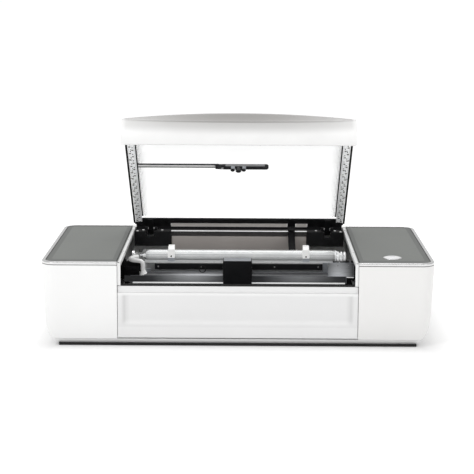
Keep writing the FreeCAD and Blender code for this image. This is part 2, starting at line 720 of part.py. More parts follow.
def power_entry():
    """The mains inlet and its rocker switch on the right pod's back."""
    back = d.body_depth
    x = (d.inlet_across - d.inlet_wide / 2, d.inlet_across + d.inlet_wide / 2)
    z = (d.inlet_height - d.inlet_tall / 2, d.inlet_height + d.inlet_tall / 2)
    plug = block(x, (back - d.inlet_deep, back), z)
    flange = block(
        (x[0] - d.inlet_edge, x[1] + d.inlet_edge), (back, back + d.inlet_flange),
        (z[0] - d.inlet_rim, z[1] + d.inlet_rim),
    )
    well = block(
        (x[0] + d.inlet_side, x[1] - d.inlet_side), (back - d.inlet_well, back + d.wall),
        (z[0] + d.inlet_edge, z[1] - d.inlet_edge),
    )
    blades = [
        block(
            (d.inlet_across + offset - d.blade_half, d.inlet_across + offset + d.blade_half),
            (back - d.inlet_well - 1, back - d.inlet_well - 1 + d.blade_reach),
            (d.inlet_height - 1, d.inlet_height + 1),
        )
        for offset in (-d.blade_apart, 0, d.blade_apart)
    ]
    node("power_inlet", fuse(cut(fuse(plug, flange), well), *blades))
    x = (d.inlet_across - d.switch_wide / 2, d.inlet_across + d.switch_wide / 2)
    z = (d.switch_height - d.switch_tall / 2, d.switch_height + d.switch_tall / 2)
    frame = block(x, (back - d.switch_deep, back), z)
    rim = block(
        (x[0] - d.switch_rim, x[1] + d.switch_rim), (back, back + d.switch_flange),
        (z[0] - d.switch_rim, z[1] + d.switch_rim),
    )
    well = block(
        (x[0] + d.switch_frame, x[1] - d.switch_frame), (back - d.switch_well, back + d.wall),
        (z[0] + d.switch_frame, z[1] - d.switch_frame),
    )
    node("power_switch_frame", cut(fuse(frame, rim), well))
    rocker = block(
        (x[0] + d.rocker_side, x[1] - d.rocker_side),
        (back - d.rocker_deep, back + d.rocker_rise),
        (z[0] + d.rocker_edge, z[1] - d.rocker_edge),
    )
    axle = rod(
        "x", (x[0] + d.rocker_side, back - d.rocker_deep + 1, d.switch_height),
        d.switch_frame, d.switch_wide - 2 * d.rocker_side,
    )
    node("power_rocker", fuse(rocker, axle))


def start_button():
    """A domed button that slides in a cup set through the right pod's glass."""
    cup_foot, cup_top = shell_top - d.cup_deep, d.pod_top + d.cup_rise
    inside, floor = d.button_radius + d.button_gap, cup_foot + d.cup_floor
    cup = turned_body([
        (0, cup_foot), (d.ring_radius, cup_foot), (d.ring_radius, cup_top),
        (inside, cup_top), (inside, floor), (0, floor),
    ])
    dome = new_body()
    profile = new_sketch(dome, "XZ")
    foot, rim = floor + d.button_travel + d.seam, d.button_rise - d.button_dome
    radius, rise = SIZES["button_radius"], SIZES["button_dome"]
    outline(
        profile,
        [(0, foot), (d.button_radius, foot), (d.button_radius, rim), (0, d.button_rise)],
        {2: (radius**2 + rise**2) / (2 * rise)},
    )
    revolution(dome, profile, "V_Axis")
    for label, shape in (("start_button_ring", cup), ("start_button", dome)):
        name_node(label, shape)
        bind_base(shape, (d.button_across, d.button_deep - front_to_middle, 0))


# --- the lid -----------------------------------------------------------------------------


def lid():
    lid_top = d.lid_under + d.lid_thick
    glass = block(
        (-d.lid_half, d.lid_half), (-d.lid_front, -d.lid_back), (d.lid_under, lid_top)
    )
    lid_node("lid_glass", group(glass))
    rail_z = (d.lid_under - d.rail_thick, d.lid_under)
    rails = [
        block(span(side, d.rail_inner, d.lid_half), (-d.lid_front, -d.lid_back), rail_z)
        for side in (1, -1)
    ]
    bar_half = d.strip_inner - d.seam
    bars = [
        block((-d.lid_half, d.lid_half), (-d.lid_back - d.frame_tie, -d.lid_back), rail_z),
        block((-bar_half, bar_half), (-d.rear_bar_front, -d.lid_back), rail_z),
        block(
            (-bar_half, bar_half), (-d.rear_bar_front, -d.rear_bar_back),
            (d.lid_under - d.rear_bar_deep, d.lid_under),
        ),
    ]
    lid_node("lid_frame", fuse(*rails, *bars))
    lid_node("lid_hinge_arms", group(*both_sides(hinge_arm)))
    strips = [
        block(
            span(side, d.strip_inner, d.strip_outer), (-d.strip_front, -d.strip_back),
            (d.lid_under - d.strip_thick, d.lid_under),
        )
        for side in (1, -1)
    ]
    lid_node("led_strips", group(*strips))
    lid_visor()
    lid_camera()


def hinge_arm(side):
    """A cranked arm from under the lid's rear bar to the hinge pin."""
    x = span(side, d.arm_inner, d.arm_outer)
    top = d.lid_under - d.rear_bar_deep
    arm = block(x, (-d.rear_bar_front, 0), (top - d.arm_thick, top))
    wide = d.arm_outer - d.arm_inner
    boss = rod("x", (x[0], 0, 0), d.boss_radius, wide)
    bore = rod("x", (x[0] - 1, 0, 0), d.pin_radius + d.run_gap, wide + 2)
    return cut(fuse(arm, boss), bore)


def bulged(body, height, bulge):
    """A sketch of the lip's plan: a straight root and a front that bows out by bulge."""
    sketch = new_sketch(body, "XY", height)
    root = -(d.lid_front + d.visor_thick + 0.2)
    half = d.visor_half
    radius = (half * half + bulge * bulge) / (2 * bulge)
    outline(sketch, [(half, root), (-half, root)], {1: radius})
    return sketch


def lid_visor():
    """The white front of the lid, with a grip that bows forward from its top edge."""
    body = new_body()
    front = d.lid_front + d.visor_thick + 0.2
    face = new_sketch(body, "XZ", front)
    rectangle(face, (-d.visor_half, d.visor_half), (-d.visor_drop, d.visor_top))
    pad(body, face, d.visor_thick, reverse=True)
    lip_foot = d.visor_top - d.lip_thick
    pad(body, bulged(body, lip_foot, d.lip_bulge), d.lip_thick)
    loft = body.newObject("PartDesign::AdditiveLoft", "Underside")
    loft.Profile = bulged(body, lip_foot - d.lip_deep, d.lip_root_bulge)
    loft.Sections = [bulged(body, lip_foot, d.lip_bulge)]
    loft.Ruled = True
    lid_node("lid_visor", body)


def lid_camera():
    """The camera bar under the glass, the strip that carries its wires, and its lens."""
    half = d.camera_wide / 2
    arm_half = d.camera_arm_wide / 2
    arm = block(
        (d.camera_arm_left, d.camera_left), (-d.camera_mid - arm_half, -d.camera_mid + arm_half),
        (d.lid_under - d.camera_arm_deep, d.lid_under),
    )
    lid_node("camera_arm", group(arm))
    body = new_body()
    plan = new_sketch(body, "XY", d.lid_under)
    rectangle(plan, (d.camera_left, d.camera_right), (-d.camera_mid - half, -d.camera_mid + half))
    bar = pad(body, plan, d.camera_deep, reverse=True)
    fillet(body, bar, half - 1, lambda box: upright(box) and box.XMin > 0)
    lid_node("camera_housing", body)
    lens = rod(
        "z",
        (
            d.camera_lens_across, -d.camera_lens_reach,
            d.lid_under - d.camera_deep - d.camera_lens_long,
        ),
        d.camera_lens_radius, d.camera_lens_long,
    )
    lid_node("camera_lens", group(lens))


# --- the front door ----------------------------------------------------------------------


def door():
    door_panel()
    liner = block(
        (-d.liner_half, d.liner_half), (d.door_deep, d.door_deep + d.liner_thick),
        (d.door_foot + 5, d.door_top - 2),
    )
    node("door_liner", group(liner))
    seal_y = (d.seal_front, d.seal_front + d.seal_deep)
    half = d.opening_half - 1.5
    strip = block((-half, half), seal_y, (d.door_top, d.door_top + d.seal_rise))
    reach = d.seal_pad_long / 2
    pads = [
        block(
            (side * d.seal_pad_across - reach, side * d.seal_pad_across + reach),
            seal_y, (d.door_top, d.door_top + d.seal_pad_rise),
        )
        for side in (1, -1)
    ]
    node("door_seal", fuse(strip, *pads))
    pins = [
        rod("x", (start, d.door_pin_deep, d.door_pin_height), d.door_pin_radius, d.door_pin_in + 1)
        for start in (d.door_half - d.door_pin_in, -d.door_half - 1)
    ]
    lid_pins = [
        rod(
            "x", (start, d.hinge_deep, d.hinge_height), d.pin_radius,
            d.arm_outer - d.arm_inner + 2 * (d.knuckle_long + d.arm_gap),
        )
        for start in (
            d.arm_inner - d.arm_gap - d.knuckle_long,
            -(d.arm_outer + d.arm_gap + d.knuckle_long),
        )
    ]
    node("hinge_pins", group(*pins, *lid_pins))


def door_panel():
    """A white pan with a shallow field on its face and a set-back band along its top."""
    body = new_body()
    side_view = new_sketch(body, "YZ", -d.door_half)
    outline(side_view, [
        (0, d.door_foot), (d.door_deep, d.door_foot), (d.door_deep, d.door_top),
        (d.band_back, d.door_top), (d.band_back, d.door_band), (0, d.door_band),
    ])
    slab = pad(body, side_view, d.door_half * 2)
    fillet(
        body, slab, Size(2),
        lambda box: box.XLength > 100 and box.YMax < 0.01 and box.ZMax < SIZES["door_band"] + 1,
    )
    field = new_sketch(body, "XZ")
    rectangle(field, (-d.recess_half, d.recess_half), (d.recess_foot, d.door_band + 1))
    pocket(body, field, d.recess_deep)
    hollow = new_sketch(body, "XZ", -d.door_deep)
    rectangle(
        hollow, (d.door_wall * 5 - d.door_half, d.door_half - d.door_wall * 5),
        (d.door_foot + 9, d.door_band - d.door_wall),
    )
    pocket(body, hollow, d.door_deep - d.door_wall - d.recess_deep, reverse=True)
    for place, backwards in ((-d.door_half, True), (d.door_half, False)):
        bore = new_sketch(body, "YZ", place)
        circle(bore, (d.door_pin_deep, d.door_pin_height), d.door_pin_hole)
        pocket(body, bore, d.door_pin_in, reverse=backwards)
    node("door_panel", body)


# --- the gantry --------------------------------------------------------------------------


def gantry_beam():
    """A box section with feet for the tube clamps and an arm for the cable carrier."""
    y = (d.beam_front, d.beam_front + d.beam_deep)
    z = (d.beam_foot, d.beam_top)
    section = cut(
        block((-d.beam_half, d.beam_half), y, z),
        block(
            (-d.beam_half - 1, d.beam_half + 1),
            (y[0] + d.beam_wall, y[1] - d.beam_wall), (z[0] + d.beam_wall, z[1] - d.beam_wall),
        ),
    )
    feet_x = [
        (side * d.clamp_across - d.clamp_wide / 2, side * d.clamp_across + d.clamp_wide / 2)
        for side in (1, -1)
    ]
    foot_back = d.tube_deep + d.clamp_half_deep
    cradle_foot = d.beam_foot + d.cradle_thick
    cradles = [
        block(x, (y[1] - 1, foot_back), (cradle_foot, cradle_foot + d.cradle_thick))
        for x in feet_x
    ]
    front_post = (d.tube_deep - d.clamp_half_deep, y[1] + 2)
    back_post = (foot_back - d.cradle_thick, foot_back)
    posts = [
        block(x, places, (cradle_foot, d.clamp_foot))
        for x in feet_x
        for places in (front_post, back_post)
    ]
    bore = rod(
        "x", (-d.beam_half, d.tube_deep, d.tube_height), d.tube_radius + d.clamp_fit,
        d.beam_half * 2,
    )
    half = d.ribbon_wide / 2 + d.ribbon_margin
    arm_x = (d.ribbon_across - half, d.ribbon_across + half)
    arm = block(
        arm_x, (y[1] - 1, d.ribbon_arm_back), (d.beam_foot, d.beam_foot + d.ribbon_arm_thick)
    )
    post = block(
        arm_x, (d.ribbon_arm_back - d.ribbon_post, d.ribbon_arm_back),
        (d.beam_foot, d.tube_height + d.cradle_thick),
    )
    node("gantry_beam", cut(fuse(section, *cradles, *posts, arm, post), bore))


def gantry_truck(side):
    """An end block that slides on its rail, with a leg beside the belt."""
    y = (d.beam_front, d.beam_front + d.beam_deep)
    shoe = block(span(side, d.truck_inner, d.truck_outer), y, (d.truck_foot, d.truck_top))
    bridge = block(span(side, d.beam_half, d.truck_inner), y, (d.beam_foot, d.beam_top))
    leg = block(
        span(side, d.leg_inner, d.leg_inner + d.leg_wide), (y[0] + 4, y[1] - 4),
        (d.leg_foot, d.truck_foot),
    )
    return fuse(shoe, bridge, leg)


def gantry():
    gantry_beam()
    left_plate = block(
        (-d.left_plate_outer, -d.left_plate_inner), (d.plate_front, d.beam_front),
        (d.plate_foot, d.left_plate_top),
    )
    node("gantry_trucks", group(gantry_truck(1), fuse(gantry_truck(-1), left_plate)))
    rail = block(
        (-d.rail_half, d.rail_half), (d.beam_front - d.rail_deep, d.beam_front),
        (d.rail_foot, d.rail_top),
    )
    node("x_rail", group(rail))
    gantry_apron()
    laser_tube()
    node("tube_clamps", group(*both_sides(tube_clamp)))
    x_motor()
    coolant_hose()
    umbilical()


def gantry_apron():
    """A folded sheet in front of the beam, with a hemmed lip and a plate over the right truck."""
    back = d.apron_front + d.apron_thick
    flange = block(
        (-d.apron_half, d.apron_half), (d.apron_front, back), (d.apron_foot, d.apron_top)
    )
    hem = block(
        (-d.apron_half, d.apron_half), (d.apron_front, d.apron_front + d.lip_fold),
        (d.apron_foot - d.apron_thick, d.apron_foot),
    )
    stay_foot = d.plate_foot + 1
    stays = [
        block(
            (side * d.apron_stay - d.stay_half, side * d.apron_stay + d.stay_half),
            (d.apron_front, d.beam_front), (stay_foot, stay_foot + d.stay_thick),
        )
        for side in (1, -1)
    ]
    left_tab = block(
        (-d.apron_stay - d.stay_half, -d.apron_stay + d.stay_half),
        (d.beam_front - d.lip_fold, d.beam_front), (stay_foot, d.rail_foot + 1),
    )
    right_plate = block(
        (d.right_plate_inner, d.right_plate_outer), (d.plate_front, d.beam_front),
        (d.plate_foot, d.truck_top),
    )
    node("gantry_apron", fuse(flange, hem, *stays, left_tab, right_plate, apron_slope()))


def apron_slope():
    """The sheet's upper fold, which climbs back to the beam under the rail."""
    body = new_body()
    side_view = new_sketch(body, "YZ", -d.rail_half)
    low, high = d.apron_top - d.apron_thick, d.apron_top + d.apron_slope
    outline(side_view, [
        (d.apron_front, low), (d.beam_front, high - d.apron_thick),
        (d.beam_front, high), (d.apron_front, d.apron_top),
    ])
    pad(body, side_view, d.rail_half * 2)
    return body


def laser_tube():
    """A glass tube: a wide jacket, necked ends and a flange at the left."""
    body = turned_body(
        [
            (d.tube_left_end, 0), (d.tube_left_end, d.tube_flange),
            (d.tube_left_end + d.tube_cap, d.tube_flange),
            (d.tube_left_end + d.tube_cap, d.tube_neck),
            (d.tube_left, d.tube_neck), (d.tube_left, d.tube_radius),
            (d.tube_right, d.tube_radius), (d.tube_right, d.tube_neck),
            (d.tube_right_end, d.tube_neck), (d.tube_right_end, 0),
        ],
        plane="XY", axis="H_Axis",
    )
    name_node("laser_tube", body)
    bind_base(body, (0, d.tube_deep - front_to_middle, d.tube_height))


def tube_clamp(side):
    """A white saddle clamped round the tube."""
    x = (side * d.clamp_across - d.clamp_wide / 2, side * d.clamp_across + d.clamp_wide / 2)
    saddle = block(
        x, (d.tube_deep - d.clamp_half_deep, d.tube_deep + d.clamp_half_deep),
        (d.clamp_foot, d.clamp_top),
    )
    bore = rod(
        "x", (x[0] - 1, d.tube_deep, d.tube_height), d.tube_radius + d.clamp_fit,
        d.clamp_wide + 2,
    )
    return cut(saddle, bore)


def pulley(axis, spot):
    """A belt pulley with a flange at each end, bored for its shaft, along an axis."""
    step = {"x": (1, 0, 0), "y": (0, 1, 0)}[axis]

    def onward(distance):
        return [place + distance * part for place, part in zip(spot, step)]

    rim = d.pulley_radius + d.flange_rise
    drum = fuse(
        rod(axis, spot, d.pulley_radius, d.belt_wide),
        rod(axis, onward(-d.flange_thick), rim, d.flange_thick),
        rod(axis, onward(d.belt_wide), rim, d.flange_thick),
    )
    return cut(drum, rod(axis, onward(-5), d.pulley_bore, 20))


def belt(plane, offset, centres):
    """A closed belt round two pulleys, whose centres are given in the sketch's plane."""
    body = new_body()
    (first, height), (second, _) = centres
    for kind, radius in (("Pad", d.pulley_radius + d.belt_thick), ("Pocket", d.pulley_radius)):
        loop = new_sketch(body, plane, offset)
        outline(
            loop,
            [
                (first, height - radius), (second, height - radius),
                (second + radius, height), (second, height + radius),
                (first, height + radius), (first - radius, height),
            ],
            {1: radius, 2: radius, 4: radius, 5: radius},
        )
        if kind == "Pad":
            pad(body, loop, d.belt_wide, reverse=plane == "XZ")
        else:
            pocket(body, loop, d.belt_wide, reverse=plane == "YZ")
    return body


def x_motor():
    """The motor under the beam that drives the carriage's belt."""
    half = d.motor_side / 2
    can = block(
        (d.x_pulley_across - half, d.x_pulley_across + half),
        (d.beam_front, d.beam_front + d.motor_long),
        (d.x_pulley_height - half, d.x_pulley_height + half),
    )
    spot = (d.x_pulley_across, d.x_belt_front, d.x_pulley_height)
    shaft = rod("y", spot, d.shaft_radius, d.beam_front + 2 - d.x_belt_front)
    face = block(
        (d.x_pulley_across - half, d.leg_inner + 4), (d.plate_front, d.beam_front),
        (d.x_pulley_height - half, d.plate_foot),
    )
    idler_pin = rod(
        "y", (-d.x_pulley_across, d.x_belt_front, d.x_pulley_height), d.shaft_radius,
        d.beam_front + 2 - d.x_belt_front,
    )
    idler_plate = block(
        (-d.x_pulley_across - 12, -d.x_pulley_across + 12), (d.plate_front, d.beam_front),
        (d.x_pulley_height - 8, d.plate_foot),
    )
    node("x_motor", group(fuse(can, shaft, face), fuse(idler_pin, idler_plate)))
    centres = [(-d.x_pulley_across, d.x_pulley_height), (d.x_pulley_across, d.x_pulley_height)]
    node("x_belt", belt("XZ", -d.x_belt_front, centres))
    node("x_drive_pulley", pulley("y", spot))


def arc_pipe(points, section, width_axis=None):
    """Straight runs joined by tangent arcs, swept by a round or flat section."""
    edges = []
    start = points[0]
    for before, corner, after in zip(points, points[1:], points[2:]):
        back, on = (before - corner), (after - corner)
        half_turn = (math.pi - back.getAngle(on)) / 2
        reach = 0.45 * min(back.Length, on.Length)
        radius = reach / math.tan(half_turn)
        enter = corner + back.normalize() * reach
        leave = corner + on.normalize() * reach
        toward = (back + on).normalize()
        middle = corner + toward * (radius / math.cos(half_turn) - radius)
        edges.append(Part.LineSegment(start, enter).toShape())
        edges.append(Part.Arc(enter, middle, leave).toShape())
        start = leave
    edges.append(Part.LineSegment(start, points[-1]).toShape())
    spine = Part.Wire(edges)
    heading = (points[1] - points[0]).normalize()
    if width_axis is None:
        profile = Part.Wire(Part.Circle(points[0], heading, section).toShape())
    else:
        wide, thick = section
        side = width_axis * (wide / 2)
        rise = heading.cross(width_axis).normalize() * (thick / 2)
        signs = ((1, 1), (-1, 1), (-1, -1), (1, -1))
        corners = [points[0] + side * a + rise * b for a, b in signs]
        profile = Part.makePolygon([*corners, corners[0]])
    area = Part.Face(profile).Area
    pipe = spine.makePipeShell([profile], True, False)
    error = pipe.Volume / (area * spine.Length) - 1
    if abs(error) > 0.02:
        raise RuntimeError(f"a swept piece is {error:.1%} off its section times its length")
    return pipe


def shaped_node(label, shape):
    """A node whose shape is worked out here from the sheet's sizes."""
    made = doc.addObject("Part::Feature", "Shaped")
    made.Shape = shape
    node(label, made)


def coolant_hose():
    """The white hose from the tube's left end to the left truck."""
    left, deep, up = SIZES["tube_left_end"], SIZES["tube_deep"], SIZES["tube_height"]
    front = SIZES["plate_front"]
    route = [
        Vector(left + 4, deep - SIZES["tube_flange"], up + 2),
        Vector(left + 1, deep - 36, up + 6),
        Vector(left + 2, front, up),
        Vector(left + 9, front - 8, up - 15),
        Vector(left + 17, front - 9, up - 29),
        Vector(left + 19, front, up - 37),
    ]
    shaped_node("coolant_hose", arc_pipe(route, 3.5))


def umbilical():
    """The flat cable carrier from the plenum's top down to the gantry's arm."""
    back, top = SIZES["plenum_front"], SIZES["plenum_top"]
    across, thick = SIZES["ribbon_across"], SIZES["ribbon_thick"]
    arm_back, clamp = SIZES["ribbon_arm_back"], SIZES["tube_height"] + 6
    above = top + thick / 2 + 0.5
    route = [
        Vector(across, back + 28, above),
        Vector(across, back - 8, above),
        Vector(across, back - 24, above - 16),
        Vector(across, back - 50, above - 28),
        Vector(across, arm_back + 13, clamp + 7),
        Vector(across, arm_back, clamp - 2),
    ]
    ribbon = arc_pipe(route, (SIZES["ribbon_wide"], thick), Vector(1, 0, 0))
    shaped_node("umbilical", ribbon)


# --- the carriage and its head -----------------------------------------------------------


def carriage():
    x = (d.head_left + 2, d.head_right - 2)
    rail_front = d.beam_front - d.rail_deep
    head_back = d.head_front + d.head_deep
    plate = block(x, (head_back, rail_front - d.carriage_gap), (d.carriage_foot, d.carriage_top))
    hook = block(
        x, (rail_front - d.hook_front, d.hook_back), (d.hook_foot, d.hook_foot + d.hook_thick)
    )
    arm_x = (-d.clamp_arm_half, d.clamp_arm_half)
    arm_foot = d.clamp_arm_top - d.clamp_arm_thick
    clamp_arm = block(
        arm_x, (head_back - d.hanger_thick * 2, d.x_belt_front + d.belt_wide - 1),
        (arm_foot, d.clamp_arm_top),
    )
    hanger = block(
        arm_x, (head_back, head_back + d.hanger_thick),
        (arm_foot, d.carriage_foot + d.hanger_thick),
    )
    node("carriage_plate", fuse(plate, hook, clamp_arm, hanger))
    laser_head()
    carrier = turned_body([
        (d.nozzle_hole, d.nozzle_tip), (d.nozzle_radius, d.nozzle_tip),
        (d.carrier_radius, d.carrier_foot), (d.carrier_radius, d.carrier_top),
        (d.carrier_radius - d.carrier_wall, d.carrier_top),
        (d.carrier_radius - d.carrier_wall, d.carrier_foot + d.carrier_wall),
    ])
    name_node("lens_carrier", carrier)
    bind_base(carrier, head_axis())


def head_axis():
    """The line of the beam through the head, as a Placement's base."""
    return (d.head_left + d.head_right) / 2, d.head_front + d.head_deep / 2 - front_to_middle, 0


def laser_head():
    """The rounded head box, bored from below for the lens carrier."""
    body = new_body()
    plan = new_sketch(body, "XY", d.head_foot)
    rectangle(plan, (d.head_left, d.head_right), (d.head_front, d.head_front + d.head_deep))
    box = pad(body, plan, d.head_top - d.head_foot)
    fillet(
        body, box, d.head_round,
        lambda edge: upright(edge) and edge.YMax < SIZES["head_front"] + 1,
    )
    bore = new_sketch(body, "XY", d.head_foot)
    middle = ((d.head_left + d.head_right) / 2, d.head_front + d.head_deep / 2)
    circle(bore, middle, d.carrier_radius + d.carrier_gap)
    pocket(body, bore, d.carrier_top + 2 * d.carrier_travel - d.head_foot, reverse=True)
    node("laser_head", body)


# --- the drive along the case ------------------------------------------------------------


def y_drive():
    """A rail and a belt at each side of the bay, with a motor behind the wall."""
    rails = [
        block(
            span(side, d.y_rail_inner, d.bay_half - d.bay_sheet),
            (d.y_rail_front, d.y_rail_back), (d.y_rail_foot, d.y_rail_top),
        )
        for side in (1, -1)
    ]
    node("y_rails", group(*rails))
    centres = [(d.y_idler_deep, d.y_belt_height), (d.y_drive_deep, d.y_belt_height)]
    left_start = -d.y_belt_inner - d.belt_wide
    node("y_belts", group(belt("YZ", d.y_belt_inner, centres), belt("YZ", left_start, centres)))
    for label, deep in (("y_drive_pulleys", d.y_drive_deep), ("y_idler_pulleys", d.y_idler_deep)):
        node(label, group(*[
            pulley("x", (start, deep, d.y_belt_height)) for start in (d.y_belt_inner, left_start)
        ]))
    node("y_motors", group(*both_sides(y_motor), *both_sides(y_idler_pin)))


def y_motor(side):
    half = d.motor_side / 2
    can = block(
        span(side, d.bay_half + 1, d.bay_half + 1 + d.motor_long),
        (d.y_drive_deep - half, d.y_drive_deep + half),
        (d.y_belt_height - half, d.y_belt_height + half),
    )
    long = d.bay_half + 2 - d.y_belt_inner
    start = d.y_belt_inner if side > 0 else -d.bay_half - 2
    return fuse(can, rod("x", (start, d.y_drive_deep, d.y_belt_height), d.shaft_radius, long))


def y_idler_pin(side):
    long = d.bay_half - d.bay_sheet - d.y_belt_inner
    start = d.y_belt_inner if side > 0 else -d.bay_half + d.bay_sheet
    return rod("x", (start, d.y_idler_deep, d.y_belt_height), d.shaft_radius, long)


# --- sealed inside the pods --------------------------------------------------------------


def inside_pods():
    foot = (d.pan_top + d.seam + d.wall, d.pan_top + d.seam + d.wall + d.supply_tall)
    supply = block(
        (d.supply_inner, d.supply_inner + d.supply_wide),
        (d.supply_front, d.supply_front + d.supply_deep), foot,
    )
    node("power_supply", group(supply))
    board_x = (d.supply_inner + d.board_side, d.supply_inner + d.supply_wide)
    board_y = (d.board_front, d.board_front + d.board_deep)
    card_z = (foot[0] + d.board_rise, foot[0] + d.board_rise + d.board_thick)
    card = block(board_x, board_y, card_z)
    chip_x, chip_y = board_x[0] + d.chip_side, board_y[0] + d.chip_front
    chips = block(
        (chip_x, chip_x + d.chip_long), (chip_y, chip_y + d.chip_deep),
        (card_z[1], card_z[1] + d.chip_tall),
    )
    posts = [
        rod("z", (across, deep, foot[0]), d.post_radius, d.board_rise)
        for across in (board_x[0] + d.post_inset, board_x[1] - d.post_inset)
        for deep in (board_y[0] + d.post_inset, board_y[1] - d.post_inset)
    ]
    node("control_board", fuse(card, chips, *posts))
    tank_x = (-d.tank_inner - d.tank_wide, -d.tank_inner)
    tank_y = (d.tank_front, d.tank_front + d.tank_deep)
    tank = cut(
        block(tank_x, tank_y, (foot[0], foot[0] + d.tank_tall)),
        block(
            (tank_x[0] + d.tank_wall, tank_x[1] - d.tank_wall),
            (tank_y[0] + d.tank_wall, tank_y[1] - d.tank_wall),
            (foot[0] + d.tank_wall, foot[0] + d.tank_tall - d.tank_wall),
        ),
    )
    node("coolant_tank", tank)
    across, front = -d.tank_inner - d.tank_wide / 2, tank_y[1] + d.pump_gap
    up = foot[0] + d.pump_radius + d.pump_rise
    cradle = block(
        (across - d.cradle_half, across + d.cradle_half),
        (front + d.cradle_front, front + d.cradle_front + d.cradle_long), (foot[0], up),
    )
    pump = rod("y", (across, front, up), d.pump_radius, d.pump_long)
    node("coolant_pump", fuse(pump, cradle))
    core = block(
        (-d.tank_inner - d.tank_wide, -d.tank_inner - d.radiator_side),
        (d.radiator_front, d.radiator_front + d.radiator_deep),
        (foot[0], foot[0] + d.radiator_tall),
    )
    node("radiator", group(core))


def cover_screws():
    """The low round screw heads on the hinge covers."""
    on_covers = [
        (side * across, deep, d.plenum_top)
        for side in (1, -1)
        for across, deep in ((264, 491), (212, 491), (279, 475))
    ]
    heads = [rod("z", spot, d.screw_radius, d.screw_rise) for spot in on_covers]
    node("cover_screws", group(*heads))


base_pan()
pod_shells()
pod_tops()
feet()
bay()
rear_parts()
exhaust()
power_entry()
start_button()
lid()
door()
gantry()
carriage()
y_drive()
inside_pods()
cover_screws()

doc.recompute()
failed = [thing.Label for thing in doc.Objects if {"Invalid", "Error"} & set(thing.State)]
for shape in nodes:
    if shape.Shape.isNull() or not shape.Shape.isValid() or not shape.Shape.Solids:
        failed.append(shape.Label)
if failed:
    raise RuntimeError(f"these did not come out whole: {failed}")
os.makedirs("parts", exist_ok=True)
for shape in nodes:
    shape.Shape.exportStep(f"parts/{shape.Label}.step")
print(len(nodes), "pieces")
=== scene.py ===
"""Looks for the desktop laser cutter: materials, fine pieces, floor, light and camera."""

import json
import math
import random

import bmesh
import bpy
from mathutils import Matrix, Vector


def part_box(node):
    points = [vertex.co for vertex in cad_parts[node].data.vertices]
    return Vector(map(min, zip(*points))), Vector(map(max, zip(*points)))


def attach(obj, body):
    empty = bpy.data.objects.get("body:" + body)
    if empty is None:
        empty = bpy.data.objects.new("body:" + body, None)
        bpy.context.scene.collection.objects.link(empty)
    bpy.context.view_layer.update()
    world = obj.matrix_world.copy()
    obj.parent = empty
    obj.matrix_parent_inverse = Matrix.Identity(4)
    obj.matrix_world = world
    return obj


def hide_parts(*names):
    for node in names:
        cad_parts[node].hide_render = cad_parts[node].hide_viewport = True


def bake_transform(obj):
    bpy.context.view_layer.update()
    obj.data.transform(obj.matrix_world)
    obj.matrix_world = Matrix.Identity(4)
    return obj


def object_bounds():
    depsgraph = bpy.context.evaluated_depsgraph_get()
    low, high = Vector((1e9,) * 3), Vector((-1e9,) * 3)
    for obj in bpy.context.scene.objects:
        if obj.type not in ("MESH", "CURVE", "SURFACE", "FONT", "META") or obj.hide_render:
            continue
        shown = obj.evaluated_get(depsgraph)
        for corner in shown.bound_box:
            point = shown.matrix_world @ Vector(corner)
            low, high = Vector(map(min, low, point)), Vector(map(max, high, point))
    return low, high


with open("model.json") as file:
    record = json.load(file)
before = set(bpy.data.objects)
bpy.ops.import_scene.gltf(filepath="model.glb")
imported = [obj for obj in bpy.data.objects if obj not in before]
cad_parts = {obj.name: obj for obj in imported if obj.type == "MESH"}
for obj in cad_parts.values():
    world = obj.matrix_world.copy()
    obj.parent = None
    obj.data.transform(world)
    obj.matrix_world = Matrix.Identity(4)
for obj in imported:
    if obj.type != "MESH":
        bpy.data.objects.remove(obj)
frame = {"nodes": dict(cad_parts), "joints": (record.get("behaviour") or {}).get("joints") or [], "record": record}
cad_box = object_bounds()

MM = 0.001
nodes = frame["nodes"]
joints = {joint["name"]: joint for joint in frame["joints"]}
dice = random.Random(7)

# The lid's own frame: x right, y back from the hinge, z up, as it lies when shut.
hinge = Vector(joints["lid_hinge"]["pos_m"])
lid_open = math.radians(joints["lid_hinge"]["range_deg"][1])
LID = Matrix.Translation(hinge) @ Matrix.Rotation(-lid_open, 4, "X")
HERE = Matrix()


def lid_box(node):
    """A lid node's box in the lid's own frame, in metres."""
    back = LID.inverted()
    spots = [back @ vertex.co for vertex in nodes[node].data.vertices]
    low = Vector(min(spot[axis] for spot in spots) for axis in range(3))
    high = Vector(max(spot[axis] for spot in spots) for axis in range(3))
    return low, high


# --- materials ---------------------------------------------------------------------------

looks = {}


